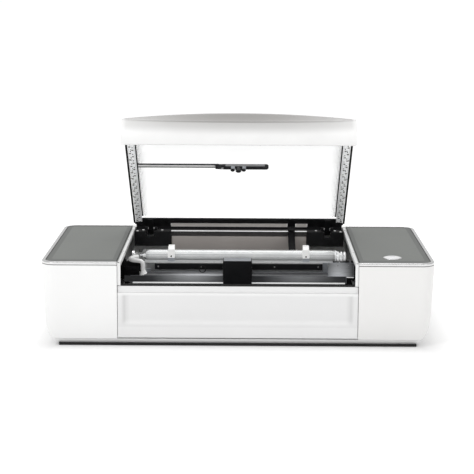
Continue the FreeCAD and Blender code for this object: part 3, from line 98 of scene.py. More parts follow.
class Nodes:
    """A material's node tree, with short calls to add and join nodes."""

    def __init__(self, name):
        self.material = bpy.data.materials.new(name)
        self.material.use_nodes = True
        self.tree = self.material.node_tree
        self.tree.nodes.clear()
        self.output = self.add("OutputMaterial")
        self.place = self.add("TexCoord").outputs["Object"]

    def add(self, kind, **values):
        node = self.tree.nodes.new("ShaderNode" + kind)
        for key, value in values.items():
            setattr(node, key, value)
        return node

    def join(self, source, target):
        self.tree.links.new(source, target)

    def noise(self, scale, detail=3.0, stretch=(1, 1, 1)):
        mapping = self.add("Mapping")
        mapping.inputs["Scale"].default_value = stretch
        self.join(self.place, mapping.inputs["Vector"])
        noise = self.add("TexNoise")
        noise.inputs["Scale"].default_value = scale
        noise.inputs["Detail"].default_value = detail
        self.join(mapping.outputs["Vector"], noise.inputs["Vector"])
        return noise.outputs["Fac"]

    def spread(self, value, low, high, start=0.25, end=0.75):
        reach = self.add("MapRange")
        reach.inputs["From Min"].default_value = start
        reach.inputs["From Max"].default_value = end
        reach.inputs["To Min"].default_value = low
        reach.inputs["To Max"].default_value = high
        self.join(value, reach.inputs["Value"])
        return reach.outputs["Result"]

    def mix(self, factor, first, second):
        mix = self.add("Mix", data_type="RGBA")
        mix.inputs[6].default_value = (*first, 1)
        mix.inputs[7].default_value = (*second, 1)
        self.join(factor, mix.inputs[0])
        return mix.outputs[2]

    def rounded(self, radius):
        """The surface's normal with its edges eased."""
        bevel = self.add("Bevel", samples=4)
        bevel.inputs["Radius"].default_value = radius
        return bevel.outputs["Normal"]

    def bump(self, height, distance, normal, strength=1.0):
        bump = self.add("Bump")
        bump.inputs["Distance"].default_value = distance
        bump.inputs["Strength"].default_value = strength
        self.join(height, bump.inputs["Height"])
        self.join(normal, bump.inputs["Normal"])
        return bump.outputs["Normal"]


def coat(name, colour, rough, metal=0.0, tone=0.05, blotch=25.0, grain=1400.0, relief=0.01,
         stretch=(1, 1, 1), specular=0.5, coat_weight=0.0, ease=0.6, worn=None, rough_spread=0.18,
         painted_glow=0.0, deep=None, foot=None):
    """A solid finish: slow changes of tone, a fine grain in its gloss and relief, eased edges. Foot paints a dark
    shadow line below a height, deep is the painted shade that the mesh's rise tones blend toward, and an emission
    value makes the surface give off painted light.
    """
    work = Nodes(name)
    shader = work.add("BsdfPrincipled")
    shader.inputs["Metallic"].default_value = metal
    shader.inputs["Specular IOR Level"].default_value = specular
    shader.inputs["Coat Weight"].default_value = coat_weight
    shader.inputs["Coat Roughness"].default_value = 0.08
    slow = work.spread(work.noise(blotch), 0.0, 1.0)
    dark = tuple(channel * (1 - tone) for channel in colour)
    light = tuple(min(1.0, channel * (1 + tone)) for channel in colour)
    tint = work.mix(slow, dark, light)
    fine = work.noise(grain, 2.0, stretch)
    normal = work.rounded(ease * MM)
    if worn:
        geometry = work.add("NewGeometry")
        dot = work.add("VectorMath", operation="DOT_PRODUCT")
        work.join(normal, dot.inputs[0])
        work.join(geometry.outputs["Normal"], dot.inputs[1])
        edge = work.spread(dot.outputs["Value"], 0.55, 0.0, 0.86, 0.985)
        wear = work.add("Mix", data_type="RGBA")
        wear.inputs[7].default_value = (*worn, 1)
        work.join(edge, wear.inputs[0])
        work.join(tint, wear.inputs[6])
        tint = wear.outputs[2]
    # Painted shadow: below the line the colour turns to a dark shade, a painted shadow line along the part's foot.
    if foot:
        line, shade = foot
        parts = work.add("SeparateXYZ")
        work.join(work.place, parts.inputs[0])
        base = work.add("Mix", data_type="RGBA")
        base.inputs[6].default_value = (*shade, 1)
        height = parts.outputs["Z"]
        work.join(work.spread(height, 0.0, 1.0, line, line + 0.6 * MM), base.inputs[0])
        work.join(tint, base.inputs[7])
        tint = base.outputs[2]
    # Painted light and shade: the mesh's rise tones blend the colour from deep, the painted shade, up to the full
    # colour.
    if deep:
        painted_light_mix = work.add("Mix", data_type="RGBA")
        painted_light_mix.inputs[6].default_value = (*deep, 1)
        share = work.add("Attribute", attribute_name="rise")
        work.join(share.outputs["Fac"], painted_light_mix.inputs[0])
        work.join(tint, painted_light_mix.inputs[7])
        tint = painted_light_mix.outputs[2]
    work.join(tint, shader.inputs["Base Color"])
    shine = work.spread(fine, rough * (1 - rough_spread), min(1.0, rough * (1 + rough_spread)))
    work.join(shine, shader.inputs["Roughness"])
    work.join(work.bump(fine, relief * MM, normal), shader.inputs["Normal"])
    # Painted light: the surface gives off light though it is no lamp.
    if painted_glow:
        if deep:
            work.join(tint, shader.inputs["Emission Color"])
        else:
            shader.inputs["Emission Color"].default_value = (*colour, 1)
        shader.inputs["Emission Strength"].default_value = painted_glow
    work.join(shader.outputs["BSDF"], work.output.inputs["Surface"])
    looks[name] = work.material


def clear(name, tint, gloss=1.0, milk=0.0, rough=0.02, blotch=12.0, relief=0.004,
          stretch=(1, 1, 1)):
    """Clear glass: it lets light through, and shines at a low angle. Milk adds a pale body."""
    work = Nodes(name)
    through = work.add("BsdfTransparent")
    through.inputs["Color"].default_value = (*tint, 1)
    shine = work.add("BsdfGlossy")
    shine.inputs["Color"].default_value = (gloss, gloss, gloss, 1)
    haze = work.noise(blotch, 2.0, stretch)
    work.join(work.spread(haze, rough, rough * 2.2), shine.inputs["Roughness"])
    normal = work.bump(work.noise(90.0), relief * MM, work.rounded(0.8 * MM))
    work.join(normal, shine.inputs["Normal"])
    body = work.add("BsdfDiffuse")
    work.join(work.mix(haze, tuple(c * 0.93 for c in tint), tint), body.inputs["Color"])
    work.join(normal, body.inputs["Normal"])
    cloudy = work.add("MixShader")
    work.join(work.spread(haze, milk * 0.7, milk * 1.3), cloudy.inputs[0])
    work.join(through.outputs[0], cloudy.inputs[1])
    work.join(body.outputs[0], cloudy.inputs[2])
    slant = work.add("LayerWeight")
    slant.inputs["Blend"].default_value = 0.5
    steep = work.add("Math", operation="POWER")
    steep.inputs[1].default_value = 5.0
    work.join(slant.outputs["Facing"], steep.inputs[0])
    both = work.add("MixShader")
    work.join(work.spread(steep.outputs[0], 0.035, 1.0, 0.0, 1.0), both.inputs[0])
    work.join(cloudy.outputs[0], both.inputs[1])
    work.join(shine.outputs[0], both.inputs[2])
    work.join(both.outputs[0], work.output.inputs["Surface"])
    looks[name] = work.material


# Top of the painted shadow line along the foot of the pod bezels.
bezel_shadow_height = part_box("pod_bezels")[0][2] + 1.6 * MM

coat("white_shell", (0.86, 0.86, 0.855), 0.34, tone=0.012, blotch=6, grain=900, relief=0.006,
    specular=0.45, coat_weight=0.15, worn=(0.9, 0.9, 0.9))
# Painted shade: the right pod's shell, a darker copy of the white shell for the side away from the key light.
coat("white_right_painted_shade", (0.80, 0.795, 0.785), 0.34, tone=0.012, blotch=6, grain=900, relief=0.006,
    specular=0.45, coat_weight=0.15, worn=(0.9, 0.9, 0.9))
# Painted shade and highlights: the door's rise tones blend toward deep.
coat("white_door", (0.83, 0.83, 0.83), 0.36, tone=0.012, blotch=6, grain=900, relief=0.006,
    specular=0.4, coat_weight=0.1, deep=(0.6, 0.6, 0.6))
coat("white_trim", (0.88, 0.88, 0.875), 0.3, tone=0.02, blotch=20, grain=1100, relief=0.006,
    coat_weight=0.2, worn=(0.93, 0.93, 0.93))
# Painted shade: the visor's rise tones blend toward this warm deep colour.
coat("white_visor", (0.88, 0.88, 0.875), 0.36, tone=0.02, blotch=20, grain=1100, relief=0.006,
    specular=0.3, deep=(0.29, 0.28, 0.27))
# Chrome with a painted shadow line along its foot.
coat("chrome_trim", (0.68, 0.68, 0.68), 0.2, metal=0.9, tone=0.04, blotch=30, grain=1600,
    relief=0.003, ease=1.2, foot=(bezel_shadow_height, (0.14, 0.14, 0.14)))
coat("top_glass", (0.196, 0.204, 0.194), 0.5, tone=0.03, blotch=5, grain=700, relief=0.002,
    specular=0.16, ease=0.8, rough_spread=0.1)
coat("bar_grey", (0.2, 0.2, 0.205), 0.4, tone=0.1, blotch=50, grain=1800, relief=0.01, specular=0.3)
coat("glass_border", (0.15, 0.155, 0.15), 0.5, tone=0.03, blotch=5, grain=700, relief=0.002,
    specular=0.16, ease=0.4, rough_spread=0.1)
coat("black_sheet", (0.012, 0.012, 0.013), 0.55, tone=0.25, blotch=40, grain=2600, relief=0.03,
    specular=0.12, worn=(0.1, 0.1, 0.1))
coat("dim_sheet", (0.045, 0.043, 0.042), 0.45, tone=0.2, blotch=30, grain=900, relief=0.01,
    specular=0.3)
# Painted light: this warm grey sheet gives off a little light of its own.
coat("warm_light", (0.78, 0.74, 0.71), 0.35, metal=0.1, tone=0.1, blotch=9, grain=500, relief=0.008,
    stretch=(0.05, 1, 1), painted_glow=0.1)
# Painted highlight: a white that gives off light, standing in for the bright reflections on metal edges.
coat("hem_painted_highlight", (0.93, 0.935, 0.94), 0.3, tone=0.03, blotch=30, grain=900, relief=0.006, painted_glow=0.42)
# Painted highlights: a sheet that gives off light, its rise tones setting soft bright spots on a near-black
# ground.
coat("painted_sheen_metal", (0.88, 0.9, 0.93), 0.3, metal=0.3, tone=0.06, blotch=12, grain=500,
    relief=0.008, stretch=(0.05, 1, 1), painted_glow=0.3, deep=(0.02, 0.021, 0.023))
coat("warm_grey_sheet", (0.52, 0.48, 0.455), 0.42, metal=0.35, tone=0.08, blotch=9, grain=500,
    relief=0.008, stretch=(0.05, 1, 1))
coat("grey_sheet", (0.43, 0.45, 0.485), 0.32, metal=0.55, tone=0.16, blotch=14, grain=500,
    relief=0.01, stretch=(0.05, 1, 1), worn=(0.6, 0.62, 0.66))
coat("black_plastic", (0.009, 0.009, 0.0105), 0.42, tone=0.2, blotch=50, grain=2400, relief=0.02,
    specular=0.22, worn=(0.05, 0.05, 0.055))
coat("aluminium", (0.66, 0.665, 0.67), 0.32, metal=0.85, tone=0.05, blotch=18, grain=520,
    relief=0.008, stretch=(0.05, 1, 1), worn=(0.85, 0.85, 0.85))
coat("steel", (0.55, 0.55, 0.55), 0.28, metal=1.0, tone=0.08, blotch=60, grain=900, relief=0.006,
    stretch=(0.1, 1, 1))
coat("bright_steel", (0.86, 0.86, 0.87), 0.16, metal=1.0, tone=0.05, blotch=90, grain=1500,
    relief=0.004)
clear("clear_glass", (0.996, 0.998, 0.997))
clear("tube_glass", (0.985, 0.99, 0.99), milk=0.12, rough=0.03, blotch=400, relief=0.0006,
    stretch=(0.01, 1, 1))
# Painted light: the sleeve gives off a little light, and its rise tones paint it lighter on top and darker below,
# toward deep.
coat("tube_body", (0.93, 0.935, 0.94), 0.22, tone=0.12, blotch=40, grain=700, relief=0.004,
    stretch=(0.01, 1, 1), coat_weight=0.6, painted_glow=0.1, deep=(0.2, 0.21, 0.22))
# Painted light: the pale core gives off light though it is no lamp.
coat("tube_core", (0.93, 0.935, 0.94), 0.25, tone=0.05, blotch=30, grain=600, relief=0.01,
    coat_weight=0.5, painted_glow=0.3)
# Painted light: the hose gives off a little light, as if more brightly lit.
coat("white_hose", (0.9, 0.9, 0.895), 0.38, tone=0.03, blotch=80, grain=1400, relief=0.01, painted_glow=0.18)
# Painted light: this white gives off a little light, as if more brightly lit.
coat("ceramic", (0.92, 0.92, 0.91), 0.3, tone=0.02, blotch=90, grain=1500, relief=0.006,
    coat_weight=0.2, painted_glow=0.25)
coat("black_rubber", (0.018, 0.018, 0.018), 0.7, tone=0.2, blotch=90, grain=1800, relief=0.03,
    specular=0.25)
# Painted light: the board gives off a little light, though it is no lamp.
coat("led_board", (0.9, 0.91, 0.92), 0.4, tone=0.06, blotch=160, grain=1800, relief=0.01, painted_glow=0.12)
coat("led_chip", (0.03, 0.03, 0.026), 0.3, tone=0.3, blotch=300, grain=2500, relief=0.01,
    coat_weight=0.4)
coat("led_case", (0.9, 0.9, 0.88), 0.3, tone=0.03, blotch=300, grain=2500, relief=0.01)
coat("green_board", (0.03, 0.13, 0.07), 0.3, tone=0.2, blotch=120, grain=1800, relief=0.01,
    coat_weight=0.3)
coat("lens_black", (0.006, 0.006, 0.008), 0.1, tone=0.2, blotch=60, grain=1400, relief=0.002,
    coat_weight=0.8)
coat("button_white", (0.9, 0.905, 0.91), 0.14, tone=0.01, blotch=40, grain=1200, relief=0.003,
    coat_weight=0.6, worn=(0.95, 0.95, 0.95))
coat("tank_plastic", (0.72, 0.73, 0.73), 0.45, tone=0.06, blotch=30, grain=1200, relief=0.01)
coat("frit", (0.012, 0.012, 0.013), 0.35, tone=0.2, blotch=200, grain=2500, relief=0.004)
coat("hex_foil", (0.5, 0.5, 0.5), 0.35, metal=0.9, tone=0.18, blotch=30, grain=1200, relief=0.01)
coat("brass", (0.72, 0.5, 0.2), 0.25, metal=1.0, tone=0.08, blotch=80, grain=1500, relief=0.006)
coat("ribbon", (0.007, 0.007, 0.008), 0.6, tone=0.2, blotch=120, grain=2000, relief=0.02, specular=0.1)

slots = {part["node"]: part["material_slot"] for part in frame["record"]["subparts"]}
own_look = {
    "right_pod_shell": "white_right_painted_shade", "door_panel": "white_door", "x_rail": "black_plastic",
    "cover_screws": "ceramic", "lid_hinge_arms": "black_sheet", "bay_walls": "dim_sheet",
    "rear_plenum": "dim_sheet",
}


def dress(node, look):
    """Gives a CAD node's every material slot one look."""
    mesh = nodes[node].data
    if not mesh.materials:
        mesh.materials.append(looks[look])
    for index in range(len(mesh.materials)):
        mesh.materials[index] = looks[look]


for name in nodes:
    dress(name, own_look.get(name, slots[name]))


# --- camera, light and floor -------------------------------------------------------------

camera = bpy.data.objects.new("camera", bpy.data.cameras.new("camera"))
camera.data.lens = 112.71
camera.data.sensor_width = 36
camera.data.shift_x = -0.00346
camera.data.clip_end = 200
camera.location = (0.02, -3.81477, 0.91911)
turn = Matrix.Rotation(math.radians(0.3), 3, "Z") @ Matrix.Rotation(math.radians(79.65), 3, "X")
camera.rotation_euler = (turn @ Matrix.Rotation(math.radians(0.25), 3, "Z")).to_euler()
bpy.context.collection.objects.link(camera)
bpy.context.scene.camera = camera


def lamp(name, spot, target, size, watts, tint=(1, 1, 1)):
    """A square soft light that points at a target."""
    data = bpy.data.lights.new(name, "AREA")
    data.size = size
    data.energy = watts
    data.color = tint
    light = bpy.data.objects.new(name, data)
    light.location = spot
    light.rotation_mode = "QUATERNION"
    light.rotation_quaternion = (Vector(spot) - Vector(target)).to_track_quat("Z", "Y")
    bpy.context.collection.objects.link(light)
    return light


lamp("key", (-2.2, -2.2, 2.6), (0, 0, 0.1), 1.6, 26)
lamp("top", (0.0, 0.4, 2.6), (0, 0.05, 0.1), 1.8, 22)
lamp("fill", (2.6, -2.4, 1.4), (0, 0, 0.1), 1.6, 7)

world = bpy.data.worlds.new("studio")
bpy.context.scene.world = world
world.use_nodes = True
world.node_tree.nodes["Background"].inputs["Color"].default_value = (1, 1, 1, 1)
world.node_tree.nodes["Background"].inputs["Strength"].default_value = 0.68
bpy.context.scene.view_settings.view_transform = "Standard"

floor_mesh = bpy.data.meshes.new("floor")
reach = 90.0
floor_mesh.from_pydata(
    [(-reach, -reach, 0), (reach, -reach, 0), (reach, reach, 0), (-reach, reach, 0)],
    [], [(0, 1, 2, 3)],
)
floor = bpy.data.objects.new("floor", floor_mesh)
bpy.context.collection.objects.link(floor)


FLOOR_GLOW = 0.4


def floor_look():
    """White card that gives off a little light, less and less towards the object: a painted shadow under and round
    the object.
    """
    work = Nodes("floor")
    shader = work.add("BsdfPrincipled")
    card = work.noise(0.8)
    work.join(work.mix(card, (0.925, 0.925, 0.925), (0.935, 0.935, 0.935)),
              shader.inputs["Base Color"])
    shader.inputs["Specular IOR Level"].default_value = 0.1
    shader.inputs["Emission Color"].default_value = (1, 1, 1, 1)
    fine = work.noise(60.0)
    work.join(work.spread(fine, 0.7, 0.8), shader.inputs["Roughness"])
    # Painted shadow: the emission fades to nothing inside a box round the object's footprint, so the floor is
    # darker there.
    parts = work.add("SeparateXYZ")
    work.join(work.place, parts.inputs[0])
    gaps = []
    for axis, edge in (("X", cad_box[1][0] * 0.9), ("Y", cad_box[1][1])):
        size = work.add("Math", operation="ABSOLUTE")
        work.join(parts.outputs[axis], size.inputs[0])
        gap = work.add("Math", operation="SUBTRACT")
        gap.inputs[1].default_value = edge
        work.join(size.outputs[0], gap.inputs[0])
        gaps.append(gap.outputs[0])
    out = work.add("Math", operation="MAXIMUM")
    work.join(gaps[0], out.inputs[0])
    work.join(gaps[1], out.inputs[1])
    work.join(work.spread(out.outputs[0], 0.0, FLOOR_GLOW, 0.0, 0.2),
              shader.inputs["Emission Strength"])
    work.join(work.bump(fine, 0.02 * MM, work.rounded(0.1 * MM)), shader.inputs["Normal"])
    work.join(shader.outputs["BSDF"], work.output.inputs["Surface"])
    return work.material


floor.data.materials.append(floor_look())


# --- building pieces ---------------------------------------------------------------------


class Piece:
    """Gathers shapes into one mesh that rides on a body and takes one look."""

    def __init__(self, name, body, slot, look=None, bevel=0.0, place=HERE, angle=40):
        self.name, self.body, self.slot = name, body, slot
        self.look = look or slot
        self.bevel, self.place, self.angle = bevel * MM, place, angle
        self.mesh = bmesh.new()

    def box(self, low, high, turn=HERE):
        """A box between two corners, in mm and in either order, turned about its own middle."""
        low, high = Vector(map(min, low, high)) * MM, Vector(map(max, low, high)) * MM
        size = high - low
        made = bmesh.ops.create_cube(self.mesh, size=1.0)["verts"]
        matrix = Matrix.Translation((low + high) / 2) @ turn @ Matrix.Diagonal((*size, 1))
        bmesh.ops.transform(self.mesh, matrix=matrix, verts=made)

    def rings(self, rings, closed_ends=True):
        """Joins rings of points, all of one length, into a skin."""
        made = [[self.mesh.verts.new(spot) for spot in ring] for ring in rings]
        count = len(made[0])
        for first, second in zip(made, made[1:]):
            for index in range(count):
                after = (index + 1) % count
                self.mesh.faces.new((first[index], first[after], second[after], second[index]))
        if closed_ends:
            self.mesh.faces.new(list(reversed(made[0])))
            self.mesh.faces.new(made[-1])

    def turned(self, start, along, profile, sides=32, closed_ends=True):
        """A turned shape: profile holds (distance along, radius), in mm."""
        matrix = Matrix.Translation(Vector(start) * MM) @ axis_turn(along)
        rings = []
        for distance, radius in profile:
            ring = []
            for index in range(sides):
                angle = math.tau * index / sides
                spot = Vector((radius * math.cos(angle), radius * math.sin(angle), distance))
                ring.append(matrix @ (spot * MM))
            rings.append(ring)
        self.rings(rings, closed_ends)

    def hoop(self, start, along, radius, thick, sides=40, around=10):
        """A round wire bent into a ring."""
        matrix = Matrix.Translation(Vector(start) * MM) @ axis_turn(along)
        made = []
        for index in range(sides):
            angle = math.tau * index / sides
            row = []
            for step in range(around):
                turn = math.tau * step / around
                out = radius + thick * math.cos(turn)
                spot = Vector((out * math.cos(angle), out * math.sin(angle),
                               thick * math.sin(turn)))
                row.append(self.mesh.verts.new(matrix @ (spot * MM)))
            made.append(row)
        for index in range(sides):
            first, second = made[index], made[(index + 1) % sides]
            for step in range(around):
                after = (step + 1) % around
                self.mesh.faces.new((first[step], first[after], second[after], second[step]))

    def prism(self, outline, low, high, axis="z"):
        """An outline, in mm, drawn out along an axis. Its points are in the other two axes."""
        def spot(a, b, c):
            return {"x": (c, a, b), "y": (a, c, b), "z": (a, b, c)}[axis]
        self.rings([
            [Vector(spot(a, b, level)) * MM for a, b in outline] for level in (low, high)
        ])

    def tube(self, path, radius, sides=16):
        """A round tube along a smooth path of points, in mm."""
        self.rings(swept(smooth(path), [
            (radius * math.cos(math.tau * k / sides), radius * math.sin(math.tau * k / sides))
            for k in range(sides)
        ]))

    def screw(self, spot, along, radius, height=1.0):
        """A domed screw head with a cross recess."""
        self.turned(spot, along, [
            (-0.4, radius), (height * 0.35, radius), (height * 0.8, radius * 0.8),
            (height, radius * 0.5), (height, radius * 0.3), (height * 0.45, radius * 0.2),
        ], sides=18)
        matrix = Matrix.Translation(Vector(spot) * MM) @ axis_turn(along)
        for turn in (0.0, math.pi / 2):
            made = bmesh.ops.create_cube(self.mesh, size=1.0)["verts"]
            cross = (matrix @ Matrix.Rotation(turn + 0.4, 4, "Z")
                     @ Matrix.Translation((0, 0, (height + 0.06) * MM))
                     @ Matrix.Diagonal((radius * 1.1 * MM, radius * 0.22 * MM, 0.14 * MM, 1)))
            bmesh.ops.transform(self.mesh, matrix=cross, verts=made)

    def done(self, *replaced, ride=True, painted_light_tones=()):
        bmesh.ops.recalc_face_normals(self.mesh, faces=self.mesh.faces)
        mesh = bpy.data.meshes.new(self.name)
        self.mesh.to_mesh(mesh)
        self.mesh.free()
        mesh.transform(self.place)
        # Painted light and shade: one tone per point, kept as the rise attribute.
        if painted_light_tones:
            tones = mesh.attributes.new("rise", "FLOAT", "POINT")
            for index, value in enumerate(painted_light_tones):
                tones.data[index].value = value
        mesh.shade_smooth()
        mesh.set_sharp_from_angle(angle=math.radians(self.angle))
        piece = bpy.data.objects.new(self.name, mesh)
        bpy.context.collection.objects.link(piece)
        mesh.materials.append(looks[self.look])
        if self.bevel:
            bevel = piece.modifiers.new("bevel", "BEVEL")
            bevel.width = self.bevel
            bevel.segments = 3
            bevel.limit_method = "ANGLE"
            bevel.angle_limit = math.radians(40)
        if ride:
            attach(piece, self.body)
        if replaced:
            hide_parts(*replaced)
        return piece


def axis_turn(along):
    """The turn that takes Z to a direction."""
    return Vector(along).normalized().to_track_quat("Z", "Y").to_matrix().to_4x4()


def smooth(path, steps=10):
    """A smooth line through a path's points, in mm."""
    spots = [Vector(spot) for spot in path]
    spots = [spots[0] * 2 - spots[1]] + spots + [spots[-1] * 2 - spots[-2]]
    line = []
    for a, b, c, e in zip(spots, spots[1:], spots[2:], spots[3:]):
        for step in range(steps):
            t = step / steps
            line.append(0.5 * ((2 * b) + (c - a) * t + (2 * a - 5 * b + 4 * c - e) * t * t
                               + (3 * b - a - 3 * c + e) * t ** 3))
    line.append(spots[-2])
    return line


def swept(line, section, side=Vector((0, 0, 1))):
    """Rings of a section's points carried along a line, in metres."""
    rings = []
    for index, spot in enumerate(line):
        ahead = line[min(index + 1, len(line) - 1)] - line[max(index - 1, 0)]
        ahead.normalize()
        if index == 0:
            across = ahead.cross(side)
            if across.length < 0.1:
                across = ahead.cross(Vector((0, 1, 0)))
        across = (across - ahead * across.dot(ahead)).normalized()
        up = across.cross(ahead)
        rings.append([(spot + across * a + up * b) * MM for a, b in section])
    return rings


def eased(value):
    """0 below 0, 1 above 1, and a smooth rise between."""
    value = min(1.0, max(0.0, value))
    return value * value * (3 - 2 * value)


def box_mm(node):
    """A node's lowest and highest corners, in mm."""
    low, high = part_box(node)
    return low / MM, high / MM


def middle_of(node):
    """The middle of a node's box, in mm."""
    low, high = box_mm(node)
    return (low + high) / 2


def lid_mm(node):
    """A lid node's lowest and highest corners in the lid's own frame, in mm."""
    low, high = lid_box(node)
    return low / MM, high / MM


# --- the lid -----------------------------------------------------------------------------


def visor():
    """The lid's front lip: a flat plate whose top edge swells out over a soft finger scoop, with painted shade
    under the swell, at the crease and in the scoop.
    """
    low, high = lid_mm("lid_visor")
    face, back = -500.0, high.y
    half = high.x
    swell, fold = face - low.y - 0.1, 5.0
    piece = Piece("visor_shell", "lid", "white_trim", "white_visor", place=LID, angle=50)
    stations = 96
    rings, painted_light_tones = [], []
    for index in range(stations + 1):
        across = -half + 2 * half * index / stations
        share = max(0.0, 1 - (across / half) ** 2)
        side = abs(across) / half
        out, crease = swell * share, high.z - 3.5 - 9.0 * share
        end = min(1.0, (half - abs(across)) / 3.0)
        corner = 3.0 * (1 - math.sqrt(max(0.0, 1 - (1 - end) ** 2)))
        foot = low.z + corner
        ring = [(back, high.z), (face - out + 1.2, high.z), (face - out, high.z - 0.9),
                (face - out, high.z - 2.6), (face - out * 0.97, high.z - 3.4)]
        # Painted shade: each point's rise tone darkens the swell's front edge and underside, the crease and the
        # scoop below it, lighter towards the ends.
        rise = [1.0, 0.8, 0.45, 0.4, 0.1 + 0.5 * side ** 2]
        for part in (0.33, 0.66, 0.97):
            ring.append((face - out * (1 - part) - fold * share * part,
                         high.z - 3.4 + (crease - high.z + 3.4) * part))
            rise.append(0.1 + 0.62 * side ** 2 + 0.25 * part ** 4)
        deep = face - (fold + 0.9) * share
        ring += [(deep, crease - 0.5), (deep, crease - 1.6)]
        rise += [0.55, 0.06 + 0.6 * side ** 2]
        for step in range(1, 13):
            part = step / 12
            ring.append((face - fold * share * (1 - eased(part)), crease - 1.8 - 40 * part))
            lift = 0.4 * eased((part - 0.3) / 0.65) * (1 - 0.3 * side)
            rise.append(0.6 + 0.15 * side ** 4 + lift)
        ring += [(face, foot + 1.0), (face + 0.4, foot + 0.3), (face + 1.2, foot),
                 (back - 0.8, foot), (back, foot + 0.8)]
        rise += [0.95, 0.75, 0.9, 1.0, 1.0]
        # The painted shade fades out over the last 14 mm at each end.
        fade = eased((half - abs(across)) / 14.0)
        painted_light_tones += [1 - (1 - min(1.0, value)) * fade for value in rise]
        rings.append([Vector((across, y, z)) * MM for y, z in ring])
    piece.rings(rings)
    piece.done("lid_visor", painted_light_tones=painted_light_tones)


def lights():
    """The lid's two light strips: chips in two uneven columns, small parts and pads between."""
    low, high = lid_mm("led_strips")
    case = Piece("led_cases", "lid", "led_board", "led_case", place=LID)
    chip = Piece("led_chips", "lid", "lens_black", "led_chip", place=LID)
    pads = Piece("led_pads", "lid", "steel", "bright_steel", place=LID)
    for side in (-1, 1):
        outer = 279.0
        start = low.y + 14
        count = round((high.y - low.y - 20) / 14.0)
        pitch = (high.y - low.y - 24) / (count - 1)
        for index in range(count):
            y = start - 2 + index * pitch
            x = side * (outer if index % 2 == 0 else outer - 6.5)
            case.box((x - 3.1, y - 3.1, low.z - 1.0), (x + 3.1, y + 3.1, low.z + 0.1))
            chip.turned((x, y, low.z - 1.25), (0, 0, 1), [(0, 2.4), (0.5, 2.6)], sides=12)
            shift = dice.uniform(-2.0, 2.0)
            near = x - side * 7.5 + shift * 0.4 if index % 2 == 0 else x + side * 5.0
            chip.box((near - 1.2, y + 4.8 + shift, low.z - 0.6),
                     (near + 1.2, y + 8.4 + shift, low.z + 0.1))
            if index % 3 == 1:
                chip.box((x + side * 3.9 - 0.9, y - 3 - shift, low.z - 0.6),
                         (x + side * 3.9 + 0.9, y + 1.4 - shift, low.z + 0.1))
            for end in (-1, 1):
                pads.box((near - 0.9, y + 6.6 + shift + end * 2.0 - 0.5, low.z - 0.3),
                         (near + 0.9, y + 6.6 + shift + end * 2.0 + 0.5, low.z + 0.1))
        for y in (low.y + 5, (low.y + high.y) / 2, high.y - 5):
            pads.screw((side * (outer - 3), y, low.z + 0.1), (0, 0, -1), 2.2, 1.2)
        for inset in (268.0, 282.6):
            pads.box((side * inset - 0.35, low.y + 8, low.z - 0.05),
                     (side * inset + 0.35, high.y - 8, low.z + 0.1))
    case.done()
    chip.done()
    pads.done()


def frit():
    """The printed edge under the glass: a solid line, then dots that shrink inwards."""
    glass_low, glass_high = lid_mm("lid_glass")
    under = glass_low.z
    piece = Piece("glass_print", "lid", "black_sheet", "frit", place=LID)
    front, back = glass_low.y + 6, glass_high.y - 34
    for side in (-1, 1):
        piece.box((side * 261.5, front, under - 0.12), (side * 265.6, back, under - 0.02))
        for column in range(6):
            x = side * (259.6 - column * 3.5)
            radius = 1.35 - column * 0.19
            rows = int((back - front) / 4.2)
            for row in range(rows):
                y = front + 2 + row * 4.2 + (2.1 if column % 2 else 0)
                piece.turned((x, y, under - 0.1), (0, 0, 1), [(0, radius), (0.07, radius)],
                             sides=8)
    piece.done()


